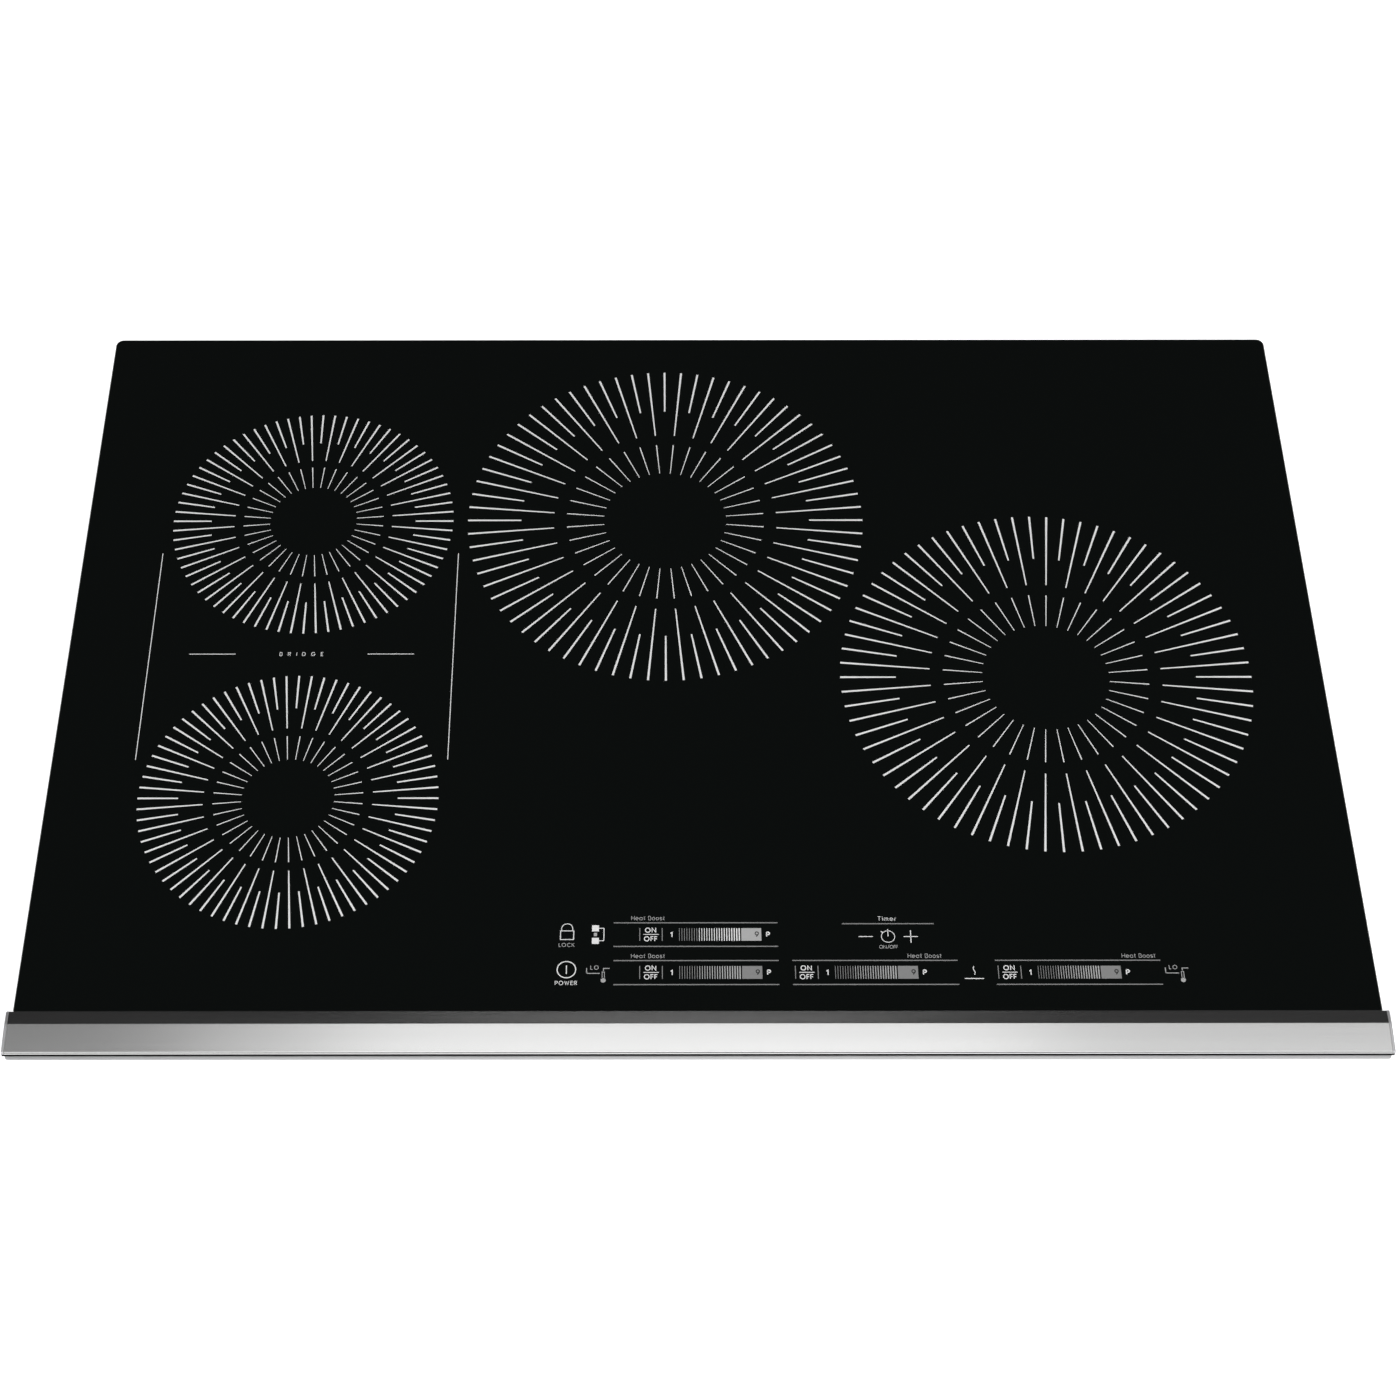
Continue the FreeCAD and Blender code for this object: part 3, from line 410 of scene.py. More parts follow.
def rays(centre, rim, angles, start, end, width):
    """Thin closed wedges. A corner is centre + r (sin a, cos a), with r at start or end of the rim
    and a half the angular width either side of the ray, at the enamel's two levels."""
    turn = np.radians(np.add.outer(angles, (-width / 2, width / 2)))
    reach = rim * np.array([start, end])
    x = centre[0] + reach[None, :, None] * np.sin(turn)[:, None, :]
    y = centre[1] + reach[None, :, None] * np.cos(turn)[:, None, :]
    levels = glass_level + np.array([-ENAMEL_SUNK, ENAMEL_PROUD])
    count = len(angles)
    outline = np.stack([x, y], -1).reshape(count, 4, 2)[:, [0, 1, 3, 2]]
    flat = np.repeat(outline[:, None], 2, axis=1)
    height = np.broadcast_to(levels[None, :, None, None], (count, 2, 4, 1))
    corners = np.concatenate([flat, height], axis=-1).reshape(-1, 3)
    faces = [(3, 2, 1, 0), (4, 5, 6, 7)] + [(k, (k + 1) % 4, (k + 1) % 4 + 4, k + 4) for k in range(4)]
    starts = 8 * np.arange(count)[:, None, None]
    return corners, [tuple(face) for face in (starts + np.array(faces)).reshape(-1, 4).tolist()]


# %% The four zones
ZONE_NAMES = ("left_front", "left_rear", "centre_rear", "right_front")
RIM_BEYOND_WINDING = 6 * MM
LARGE_RIM = 100 * MM
# Degrees that a ray takes on the rim and in the inner ring.
LARGE_ZONE_WIDTHS, SMALL_ZONE_WIDTHS = (0.58, 0.61), (0.76, 0.77)


def print_zone(name):
    """Short, long and inner rays round the middle of the winding, out to just beyond it."""
    low, high = (np.array(corner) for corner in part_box("coil_winding_" + name))
    centre = (low + high)[:2] / 2
    rim = (high - low)[0] / 2 + RIM_BEYOND_WINDING
    width, inner_width = LARGE_ZONE_WIDTHS if rim > LARGE_RIM else SMALL_ZONE_WIDTHS
    even = 2 * RAY_STEP * np.arange(RIM_RAYS // 2)
    rays_of_zone = [
        rays(centre, rim, even, SHORT_START, 1.0, width),
        rays(centre, rim, even + RAY_STEP, LONG_START, 1.0, width),
        rays(centre, rim, even + RAY_STEP, INNER_START, INNER_END, inner_width),
    ]
    new_piece("zone_print_" + name, join_blocks(rays_of_zone), bright_enamel, "cooktop")


for zone_name in ZONE_NAMES:
    print_zone(zone_name)

# %% [markdown]
# ## Lines and letters
#
# Lines, icons and letters are all bands of even width along a path, with mitred corners. A
# letter is a few such paths on a cell one unit high, so one small alphabet serves every word
# on the plate at any size.


# %% Bands and patches
STROKE_AS_FIRED = 0.79
SHARPEST_MITRE = 0.45
NO_LENGTH = 1e-12


def band(path, width, closed=False, proud=ENAMEL_PROUD, fired=STROKE_AS_FIRED):
    """A closed flat band. Each path point sends one point to each side along the mitre of its
    two neighbours' normals, at half the width over the cosine of half the turn. Enamel draws in
    as it is fired, so a stroke ends up narrower than drawn. The mitre of a sharp corner is cut
    short, and a repeated point doesn't divide by nothing."""
    path = np.asarray(path, float)
    width = width * fired
    along = np.roll(path, -1, axis=0) - path
    along /= np.linalg.norm(along, axis=1)[:, None] + NO_LENGTH
    if not closed:
        along[-1] = along[-2]
    before = np.roll(along, 1, axis=0)
    if not closed:
        before[0] = along[0]
    normal = np.stack([-along[:, 1], along[:, 0]], -1) + np.stack([-before[:, 1], before[:, 0]], -1)
    normal /= np.linalg.norm(normal, axis=1)[:, None]
    half_turn = np.maximum((normal * np.stack([-along[:, 1], along[:, 0]], -1)).sum(1), SHARPEST_MITRE)
    offset = normal * (width / 2 / half_turn)[:, None]
    sides = [on_plate(path + offset), on_plate(path - offset)]
    low, high = glass_level - ENAMEL_SUNK, glass_level + proud
    column = np.ones((len(path), 1))
    rings = np.stack([np.hstack([sides[0], column * low]), np.hstack([sides[0], column * high]),
                      np.hstack([sides[1], column * high]), np.hstack([sides[1], column * low])], 1)
    vertices, faces = loft(rings)
    if closed:
        count = len(path)
        last, first = 4 * (count - 1), 0
        bridge = [(last + k, last + (k + 1) % 4, first + (k + 1) % 4, first + k) for k in range(4)]
        faces = faces[2:] + bridge
    return vertices, faces


def patch(low, high, proud=ENAMEL_PROUD):
    """A filled rectangle from its low to its high corner: a band as wide as it is high."""
    middle = (low[1] + high[1]) / 2
    return band([(low[0], middle), (high[0], middle)], high[1] - low[1], proud=proud, fired=1)


def arc(centre, radius, start, end, steps=14):
    """Points of an elliptical arc from start to end degrees, anticlockwise if end is larger."""
    angle = np.radians(np.linspace(start, end, steps))
    radius = np.broadcast_to(radius, 2)
    return np.stack([centre[0] + radius[0] * np.cos(angle), centre[1] + radius[1] * np.sin(angle)], -1)


def ring_path(centre, radius, steps=40):
    """Points of a whole circle, the first not repeated."""
    return arc(centre, radius, 0, 360 - 360 / steps, steps)


# %% Alphabet
BOWL_SQUEEZE = 0.9


def straight(*points):
    """A path of straight stretches."""
    return np.array(points, float)


def bowl(top, bottom, reach):
    """The rounded part of B, P and R: half an ellipse from the stem at top round to the stem at
    bottom, a little narrower than a half circle."""
    radius = (top - bottom) / 2
    middle = (reach - radius * BOWL_SQUEEZE, (top + bottom) / 2)
    curve = arc(middle, (radius * BOWL_SQUEEZE, radius), 90, -90)
    return np.vstack([[(0, top)], curve, [(0, bottom)]])


STEM = straight((0, 0), (0, 1))
SHORT_STEM = straight((0, 0), (0, 0.68))
BOWL_O = arc((0.31, 0.34), (0.31, 0.34), 90, 450, 24)
ALPHABET = {
    "B": (0.58, [STEM, bowl(1, 0.53, 0.52), bowl(0.53, 0, 0.58)]),
    "C": (0.80, [arc((0.46, 0.5), (0.46, 0.5), 46, 314)]),
    "D": (0.72, [STEM, np.vstack([[(0, 1)], arc((0.24, 0.5), (0.48, 0.5), 90, -90), [(0, 0)]])]),
    "E": (0.50, [straight((0.5, 1), (0, 1), (0, 0), (0.5, 0)), straight((0, 0.52), (0.45, 0.52))]),
    "F": (0.50, [straight((0, 0), (0, 1), (0.5, 1)), straight((0, 0.5), (0.44, 0.5))]),
    "G": (0.84, [np.vstack([arc((0.44, 0.5), (0.44, 0.5), 48, 335), [(0.84, 0.46), (0.52, 0.46)]])]),
    "H": (0.68, [STEM, STEM + (0.68, 0), straight((0, 0.52), (0.68, 0.52))]),
    "I": (0.06, [STEM + (0.03, 0)]),
    "K": (0.60, [STEM, straight((0.58, 1), (0, 0.40)), straight((0.2, 0.6), (0.6, 0))]),
    "L": (0.46, [straight((0, 1), (0, 0), (0.46, 0))]),
    "N": (0.74, [straight((0, 0), (0, 1), (0.74, 0), (0.74, 1))]),
    "O": (0.96, [arc((0.48, 0.5), (0.48, 0.5), 90, 450, 28)]),
    "P": (0.56, [STEM, bowl(1, 0.45, 0.56)]),
    "R": (0.60, [STEM, bowl(1, 0.48, 0.56), straight((0.27, 0.48), (0.60, 0))]),
    "T": (0.62, [straight((0, 1), (0.62, 1)), straight((0.31, 1), (0.31, 0))]),
    "W": (1.00, [straight((0, 1), (0.25, 0), (0.5, 0.9), (0.75, 0), (1.0, 1))]),
    "a": (0.66, [BOWL_O, SHORT_STEM + (0.64, 0)]),
    "e": (0.62, [np.vstack([[(0.03, 0.34)], arc((0.31, 0.34), (0.31, 0.34), 0, 310, 20)])]),
    "i": (0.06, [SHORT_STEM + (0.03, 0), straight((0.03, 0.84), (0.03, 0.98))]),
    "m": (0.86, [SHORT_STEM] + [np.vstack([arc((x, 0.44), (0.215, 0.24), 180, 0), [(x + 0.215, 0)]])
                                for x in (0.215, 0.645)]),
    "o": (0.62, [BOWL_O]),
    "r": (0.34, [SHORT_STEM, arc((0.27, 0.38), (0.27, 0.30), 180, 72, 8)]),
    "s": (0.46, [np.vstack([arc((0.23, 0.51), (0.2, 0.17), 30, 270),
                            arc((0.23, 0.17), (0.23, 0.17), 90, -150)])]),
    "t": (0.36, [straight((0.15, 0.95), (0.15, 0.1), (0.30, 0)), straight((0, 0.68), (0.36, 0.68))]),
    "1": (0.28, [straight((0, 0.78), (0.28, 1), (0.28, 0))]),
    "9": (0.60, [arc((0.3, 0.68), (0.3, 0.32), 0, 360, 24), straight((0.57, 0.55), (0.2, 0))]),
    " ": (0.30, []),
}


def word(text, left, right, base, cap, weight=0.17, proud=ENAMEL_PROUD):
    """Letters cap millimetres high, spread evenly so that the word runs from left to right."""
    widths = np.array([ALPHABET[letter][0] for letter in text]) * cap
    stroke = weight * cap
    spare = right - left - stroke - widths.sum()
    gap = spare / (len(text) - 1) if len(text) > 1 else 0
    starts = left + stroke / 2 + np.concatenate([[0], np.cumsum(widths + gap)[:-1]])
    blocks = []
    for letter, start in zip(text, starts):
        for path in ALPHABET[letter][1]:
            inside = path * (cap - stroke) + (start, base + stroke / 2)
            blocks.append(band(inside, stroke, proud=proud))
    return blocks


print("letters:", len(ALPHABET))

# %% [markdown]
# ## Bridge marks
#
# Two uprights beside the left zones and a word between two dashes say that both can be run
# as one.

# %% Bridge marks
BRIDGE_LINE = 0.6
BRIDGE_LOW, BRIDGE_MIDDLE, BRIDGE_HIGH = 171, 249.5, 328.5
DASH_LENGTH = 28.7
bridge_marks = [band([(x, BRIDGE_LOW), (x, BRIDGE_HIGH)], BRIDGE_LINE) for x in (50.4, 238.2)]
bridge_marks += [band([(left, BRIDGE_MIDDLE), (left + DASH_LENGTH, BRIDGE_MIDDLE)], BRIDGE_LINE)
                 for left in (74.9, 185.2)]
bridge_marks += word("BRIDGE", 130.8, 158.2, 248.0, 3.0, 0.14)
new_piece("bridge_print", join_blocks(bridge_marks), bright_enamel, "cooktop")

# %% [markdown]
# ## Touch controls
#
# One slider per zone: an on and off key between two uprights, a scale of fine bars that grow
# bolder towards the hot end, and a solid field with the highest number. Guide lines run above
# and below in the greyer enamel. Around them are the keys for lock, power, timer, warming and
# linking two zones.

# %% Sliders
SLIDER_LENGTH = 94.4
LINE_APART = 15.6
GUIDE_WIDTH = 0.8
UPRIGHTS_APART = 12.9
MARK_BELOW, MARK_ABOVE, UPRIGHT_ABOVE = 4.1, 4.2, 4.3
BAR_COUNT, BAR_PITCH = 25, 1.435
THINNEST_BAR, BAR_GAIN = 0.40, 0.55
FAINT_BARS = 8
FIELD_WIDTH = 11.5
FIGURE_PROUD = 1.5 * ENAMEL_PROUD
bright_marks, pale_marks, grey_marks, dark_marks = [], [], [], []


def line(start, end, width, marks):
    """A straight band from start to end, added to a list of marks."""
    marks.append(band([start, end], width))


def slider(line_left, middle, keys_left, bars, field):
    """Guide lines from line_left; keys, scale and numbers follow from the first upright. The
    bars and the field go to the two lists of marks that are given."""
    for y in (middle - LINE_APART / 2, middle + LINE_APART / 2):
        line((line_left, y), (line_left + SLIDER_LENGTH, y), GUIDE_WIDTH, grey_marks)
    for x in (keys_left, keys_left + UPRIGHTS_APART):
        line((x, middle - MARK_BELOW), (x, middle + UPRIGHT_ABOVE), 0.6, grey_marks)
    bright_marks.extend(word("ON", keys_left + 2.9, keys_left + 10.0, middle + 1.2, 3.5, 0.19))
    line((keys_left + 2.2, middle + 0.1), (keys_left + 10.9, middle + 0.1), 0.55, bright_marks)
    bright_marks.extend(word("OFF", keys_left + 2.3, keys_left + 10.7, middle - 4.5, 3.5, 0.19))
    bright_marks.extend(word("1", keys_left + 17.3, keys_left + 19.2, middle - 2.0, 3.8, 0.2))
    scale_left = keys_left + 22.8
    for index in range(BAR_COUNT):
        x = scale_left + index * BAR_PITCH
        boldness = THINNEST_BAR + BAR_GAIN * (index / (BAR_COUNT - 1)) ** 2
        line((x, middle - MARK_BELOW), (x, middle + MARK_ABOVE), boldness,
             grey_marks if index < FAINT_BARS else bars)
    field_left = keys_left + 58.4
    field.append(patch((field_left, middle - MARK_BELOW), (field_left + FIELD_WIDTH, middle + MARK_ABOVE)))
    dark_marks.extend(word("9", field_left + 7.6, field_left + 10.4, middle - 1.8, 3.9, 0.19,
                           proud=FIGURE_PROUD))
    bright_marks.extend(word("P", keys_left + 72.5, keys_left + 75.4, middle - 1.8, 3.8, 0.23))


slider(339.0, 49.7, 354.0, bright_marks, pale_marks)
slider(339.0, 24.8, 354.0, pale_marks, grey_marks)
slider(441.2, 24.8, 442.8, pale_marks, grey_marks)
slider(557.0, 24.8, 558.5, pale_marks, grey_marks)
BOOST_LENGTH = 19.6
for left, base in ((349.0, 59.2), (349.0, 34.2), (507.3, 34.2), (629.7, 34.2)):
    pale_marks.extend(word("Heat Boost", left, left + BOOST_LENGTH, base, 2.9, 0.12))
print("slider marks:", sum(map(len, (bright_marks, pale_marks, grey_marks, dark_marks))))

# %% [markdown]
# The lock is an outline with an arched shackle. The power key is a ring with a bar in it. The
# link key shows two zones, one behind the other, joined by a bracket.

# %% Lock, power and link keys
LOCK_LOW, LOCK_HIGH = (308.4, 46.5), (316.0, 52.2)
LOCK_BODY = [LOCK_LOW, (LOCK_HIGH[0], LOCK_LOW[1]), LOCK_HIGH, (LOCK_LOW[0], LOCK_HIGH[1])]
bright_marks.append(band(LOCK_BODY, 0.6, closed=True))
shackle = np.vstack([[(309.0, 52.3)], arc((312.2, 53.8), (3.2, 3.1), 180, 0), [(315.4, 52.3)]])
bright_marks.append(band(shackle, 0.55))
pale_marks += word("LOCK", 307.4, 316.8, 41.6, 2.6, 0.14)

POWER_MIDDLE = (312.2, 26.75)
bright_marks.append(band(ring_path(POWER_MIDDLE, 5.3), 0.75, closed=True))
line((POWER_MIDDLE[0], 23.9), (POWER_MIDDLE[0], 29.5), 0.7, bright_marks)
bright_marks += word("POWER", 305.7, 318.7, 16.7, 2.8, 0.15)

for low, high in (((326.5, 51.8), (330.5, 55.9)), ((326.5, 43.6), (330.5, 47.6))):
    bright_marks.append(patch(low, high))
pale_marks.append(patch((327.6, 48.7), (329.4, 50.9)))
link = [(330.5, 53.9), (333.0, 53.9), (333.4, 53.5), (333.4, 46.1), (333.0, 45.7), (330.5, 45.7)]
bright_marks.append(band(link, 0.6))
print("marks with the left keys:", len(bright_marks) + len(pale_marks))

# %% Timer keys
bright_marks += word("Timer", 491.2, 502.3, 58.7, 3.0, 0.13)
line((470.6, 56.8), (523.5, 56.8), GUIDE_WIDTH, grey_marks)
TIMER_LEVEL = 48.3
CLOCK_X, PLUS_X, KEY_REACH = 496.75, 509.8, 4.1
line((479.8, TIMER_LEVEL), (488.0, TIMER_LEVEL), 0.65, bright_marks)
line((PLUS_X - KEY_REACH, TIMER_LEVEL), (PLUS_X + KEY_REACH, TIMER_LEVEL), 0.65, bright_marks)
line((PLUS_X, TIMER_LEVEL - KEY_REACH), (PLUS_X, TIMER_LEVEL + KEY_REACH), 0.65, bright_marks)
bright_marks.append(band(ring_path((CLOCK_X, TIMER_LEVEL), 3.8), 0.5, closed=True))
line((CLOCK_X, TIMER_LEVEL), (CLOCK_X, 53.2), 0.55, bright_marks)
line((492.8, 51.8), (493.7, 50.9), 0.7, bright_marks)
pale_marks += word("ON", 491.3, 495.8, 40.3, 2.4, 0.14)
pale_marks += word("OFF", 497.2, 502.4, 40.3, 2.4, 0.14)
line((496.1, 40.2), (497.1, 42.8), 0.35, pale_marks)
print("marks with the timer:", len(bright_marks) + len(pale_marks))


# %% Warming keys
def low_heat_key(left):
    """A pan in outline with a thermometer in its handle, and two letters above the pan."""
    line((left, 27.8), (left, 24.4), 0.6, pale_marks)
    pale_marks.append(band([(left, 24.9), (left + 0.6, 24.3), (left + 7.5, 24.3)], 0.6))
    pale_marks.append(band([(left + 9.6, 25.9), (left + 9.6, 27.5), (left + 13.1, 27.5)], 0.6))
    stem = [(left + 8.9, 20.5), (left + 8.9, 25.2), (left + 10.2, 25.2), (left + 10.2, 20.5)]
    pale_marks.append(band(stem, 0.45))
    pale_marks.append(band(ring_path((left + 9.5, 19.8), 0.8, 16), 1.6, closed=True))
    pale_marks.extend(word("LO", left + 2.1, left + 7.3, 26.7, 2.8, 0.15))


low_heat_key(323.7)
low_heat_key(653.8)
turn = np.linspace(0, 2 * math.pi, 20)
steam = np.stack([544.7 - 0.45 * np.sin(turn), 28.8 - 5.5 * turn / turn[-1]], -1)
bright_marks.append(band(steam, 0.6))
line((539.0, 20.8), (550.0, 20.8), 0.7, bright_marks)
print("marks with the warming keys:", len(bright_marks) + len(pale_marks))

# %% Fire the controls onto the plate
new_piece("controls_print", join_blocks(bright_marks), bright_enamel, "cooktop")
new_piece("slider_fields_print", join_blocks(pale_marks), pale_enamel, "cooktop")
new_piece("guide_lines_print", join_blocks(grey_marks), grey_enamel, "cooktop")
new_piece("scale_numbers_print", join_blocks(dark_marks), dark_enamel, "cooktop")

# %% [markdown]
# ## Metal finishes
#
# The trim is stainless steel brushed along its length: fine grooves that smear reflections
# across them, so the grain is noise drawn out along X. The box is zinc-coated sheet, whose
# crystals reflect by different amounts. Small hardware is bright plated, and inner sheets and
# heat sinks are plain mill aluminium.


# %% Brushed, coated and plated metal
def brushed_steel():
    """Grooves along X on a broader streak; the grain sets colour, polish and relief."""
    finish = Finish("brushed_steel", (0.63, 0.63, 0.63), 0.3, 1.0)
    grain = finish.noise(1, 2, (9, 2600, 2600))
    broad = finish.noise(1, 2, (2.5, 260, 260))
    finish.colour(grain * 0.6 + broad * 0.4, (0.58, 0.58, 0.58), (0.68, 0.68, 0.675))
    finish.roughness(grain * 0.07 + 0.14)
    finish.relief(grain, 0.0000015)
    return finish.material


def satin_aluminium():
    """Fine extrusion lines along X, as polish and relief."""
    finish = Finish("satin_aluminium", (0.60, 0.60, 0.61), 0.4, 1.0)
    grain = finish.noise(1, 2, (40, 1500, 1500))
    finish.roughness(grain * 0.14 + 0.34)
    finish.relief(grain, 0.000008)
    return finish.material


def zinc_coated_steel():
    """A mosaic of crystals under a soft cloud sets colour and polish."""
    finish = Finish("zinc_coated_steel", (0.40, 0.42, 0.43), 0.42, 1.0)
    crystals = finish.cells(150)
    cloud = finish.noise(14, 3)
    finish.colour(crystals * 0.65 + cloud * 0.35, (0.27, 0.285, 0.30), (0.50, 0.52, 0.53))
    finish.roughness(crystals * 0.16 + cloud * 0.12 + 0.26)
    finish.relief(finish.noise(420, 2), 0.00003)
    return finish.material


def plated_steel():
    """Bright plating with a faint cloud."""
    finish = Finish("plated_steel", (0.70, 0.70, 0.71), 0.25, 1.0)
    cloud = finish.noise(160, 2)
    finish.colour(cloud, (0.58, 0.59, 0.60), (0.76, 0.76, 0.77))
    finish.roughness(cloud * 0.18 + 0.16)
    return finish.material


def mill_aluminium():
    """Rolling streaks along Y."""
    finish = Finish("mill_aluminium", (0.72, 0.73, 0.74), 0.4, 1.0)
    rolled = finish.noise(1, 2, (300, 20, 300))
    finish.colour(rolled, (0.64, 0.65, 0.66), (0.76, 0.77, 0.78))
    finish.roughness(rolled * 0.2 + 0.3)
    return finish.material


# %% [markdown]
# ## Rubber, plastic and the rest
#
# The gasket is closed-cell foam, the bead is silicone and the seal is smooth black rubber. The seal's
# black strip between the trim's nose and its lip stands in for the shadow in that gap: painted shade.
# Inside the box the parts are moulded plastic, fired ferrite, mica, ceramic and circuit boards; they show
# only through the vents, so each has a light two-tone pattern at its own scale.


# %% Soft and moulded materials
# The trim's seal gets this finish too: its black strip under the trim's nose is painted shade for the gap
# there.
def black_rubber():
    """Deep black with hardly any gloss and a fine moulded skin."""
    finish = Finish("black_rubber", (0.004,) * 3, 0.7, Specular_IOR_Level=0.08)
    skin = finish.noise(700, 3)
    finish.colour(skin, (0.003,) * 3, (0.007,) * 3)
    finish.relief(skin, 0.00008)
    return finish.material


def two_tone(name, low, high, rough, scale, metallic=0.0, relief=0.0, stretch=(1, 1, 1)):
    """A pattern between two colours with the roughness following it."""
    finish = Finish(name, low, rough, metallic)
    pattern = finish.noise(scale, 3, stretch)
    finish.colour(pattern, low, high)
    finish.roughness(pattern * 0.15 + (rough - 0.07))
    if relief:
        finish.relief(pattern, relief)
    return finish.material


FINISHES = {
    "black_glass": glass_ceramic(),
    "brushed_trim": brushed_steel(),
    "satin_aluminium": satin_aluminium(),
    "zinc_coated_steel": zinc_coated_steel(),
    "plated_steel": plated_steel(),
    "mill_aluminium": mill_aluminium(),
    "black_rubber": black_rubber(),
    "silicone": two_tone("silicone", (0.02,) * 3, (0.03,) * 3, 0.45, 60, relief=0.0001),
    "carrier_plastic": two_tone("carrier_plastic", (0.045,) * 3, (0.07,) * 3, 0.5, 300),
    "ferrite": two_tone("ferrite", (0.05,) * 3, (0.09,) * 3, 0.6, 400),
    "mica": two_tone("mica", (0.45, 0.41, 0.32), (0.62, 0.57, 0.46), 0.5, 80),
    "spring_steel": two_tone("spring_steel", (0.5,) * 3, (0.66,) * 3, 0.3, 900, 1.0),
    "sensor_ceramic": two_tone("sensor_ceramic", (0.72, 0.71, 0.67), (0.84, 0.83, 0.79), 0.3, 200),
    "board_green": two_tone("board_green", (0.02, 0.12, 0.05), (0.04, 0.2, 0.09), 0.35, 350),
    "component_black": two_tone("component_black", (0.02,) * 3, (0.045,) * 3, 0.5, 500),
    "component_blue": two_tone("component_blue", (0.05, 0.1, 0.28), (0.09, 0.17, 0.4), 0.4, 200),
    "choke_core": two_tone("choke_core", (0.35, 0.2, 0.06), (0.52, 0.34, 0.14), 0.4, 400),
    "fan_plastic": two_tone("fan_plastic", (0.025,) * 3, (0.05,) * 3, 0.45, 250),
    "white_plastic": two_tone("white_plastic", (0.68, 0.68, 0.66), (0.8, 0.8, 0.78), 0.45, 150),
}


print("finishes:", len(FINISHES))

# %% [markdown]
# ## Windings
#
# A coil is stranded copper wound in a flat spiral. In the frame it is a plain ring, so its turns are a
# pattern on it: the distance to the middle goes up and down once a turn, which paints shade into the gaps
# between the wires and rounds each of them with a bump.

# %% Windings, and a finish on every part
WIRE_PITCH = 3.2 * MM


def litz_copper(node):
    """Wound stranded wire: ridges one pitch apart, by the distance to the winding's middle."""
    low, high = (np.array(corner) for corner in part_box(node))
    middle = (*((low + high) / 2)[:2], high[2])
    finish = Finish(node + "_copper", (0.6, 0.3, 0.15), 0.38, 0.8)
    distance = finish.node("ShaderNodeVectorMath", {0: finish.place, 1: middle}, operation="DISTANCE")
    reach = Value(finish, distance.outputs["Value"])
    ridge = finish.combine("PINGPONG", reach, WIRE_PITCH / 2) * (2 / WIRE_PITCH)
    strands = finish.noise(500, 3)
    # The ridge also darkens the colour towards the gaps between the wires: painted shade.
    finish.colour(ridge * 0.75 + strands * 0.3, (0.16, 0.06, 0.025), (0.74, 0.40, 0.21))
    finish.relief(ridge, 0.0008)
    return finish.material


for part in frame["record"]["subparts"]:
    node, slot = part["node"], part["material_slot"]
    material = litz_copper(node) if slot == "litz_copper" else FINISHES[slot]
    for material_slot in frame["nodes"][node].material_slots:
        material_slot.material = material

# %% [markdown]
# ## Box screws
#
# Pan-head screws with a cross recess hold the clamps to the side walls, and the coil deck to
# them and to the rear wall. A screw is one loft of rings round its own axis: shank, underside,
# dome, then a ring in the outline of a cross that drops into the head. The same rings are set
# against each wall.


# %% Pan-head screw
SCREW_POINTS = 48
SCREW_ANGLES = np.radians(np.arange(SCREW_POINTS) * 360 / SCREW_POINTS)
SHANK, HEAD, HEAD_HEIGHT, SHANK_LENGTH = 1.9, 3.8, 2.2, 6.0
HEAD_BRIM, DOME_EDGE, DOME_RINGS = 0.4, 66, 7
SLOT_HALF, SLOT_REACH, SLOT_DEPTH = 0.5, 2.1, 1.3
SLOT_EDGE, SLOT_TAPER = 0.05, 0.8


def stack(profile):
    """Rings round the Z axis from pairs of a radius, one number or one per angle, and a level."""
    radii = np.stack([np.broadcast_to(radius, SCREW_POINTS) for radius, _ in profile])
    levels = np.array([level for _, level in profile])[:, None]
    x, y = radii * np.cos(SCREW_ANGLES), radii * np.sin(SCREW_ANGLES)
    return np.stack([x, y, np.broadcast_to(levels, radii.shape)], axis=-1)


def pan_head_rings():
    """Head of radius times cos a to the power 0.5 at height sin a, and a cross whose edge is the
    slot's half width over the sine of the angle to the nearest arm, no further than its reach."""
    to_arm = np.abs((SCREW_ANGLES + math.pi / 4) % (math.pi / 2) - math.pi / 4)
    cross = np.minimum(SLOT_REACH, SLOT_HALF / np.maximum(np.sin(to_arm), 0.01))
    rise = np.radians(np.linspace(0, DOME_EDGE, DOME_RINGS))
    top = HEAD_HEIGHT - SLOT_EDGE
    dome = [(HEAD * math.sqrt(math.cos(a)), HEAD_BRIM + (top - HEAD_BRIM) * math.sin(a)) for a in rise]
    slot = [(cross + 2 * SLOT_EDGE, HEAD_HEIGHT), (cross, top),
            (SLOT_TAPER * cross, HEAD_HEIGHT - SLOT_DEPTH)]
    return stack([(SHANK, -SHANK_LENGTH), (SHANK, 0), (HEAD, 0)] + dome + slot)


def against_wall(rings, place, outward):
    """The rings with their axis turned outward: x along up times outward, y up, z outward."""
    outward, up = np.array(outward, float), np.array([0.0, 0.0, 1.0])
    return MM * (rings @ np.stack([np.cross(up, outward), up, outward])) + np.array(place)


# %% Set the box screws
CLAMP_SHEET = 1.6
CLAMP_SCREW_Y, CLAMP_SCREW_LEVELS = 22, (30, 70)
DECK_SCREW_LEVEL = 51
SIDE_WALL_PLACES, REAR_WALL_PLACES = (-163, 45, 185), (-320, -140, 60, 320)
screws_high = np.array(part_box("box_screws")[1])
clamp_face = screws_high[0] - HEAD_HEIGHT * MM
wall_face = clamp_face - CLAMP_SHEET * MM
rear_face = screws_high[1] - HEAD_HEIGHT * MM
screw_rings = pan_head_rings()
box_screws = [against_wall(screw_rings, (side * clamp_face, CLAMP_SCREW_Y * MM, level * MM), (side, 0, 0))
              for side in (-1, 1) for level in CLAMP_SCREW_LEVELS]
box_screws += [against_wall(screw_rings, (side * wall_face, y * MM, DECK_SCREW_LEVEL * MM), (side, 0, 0))
               for side in (-1, 1) for y in SIDE_WALL_PLACES]
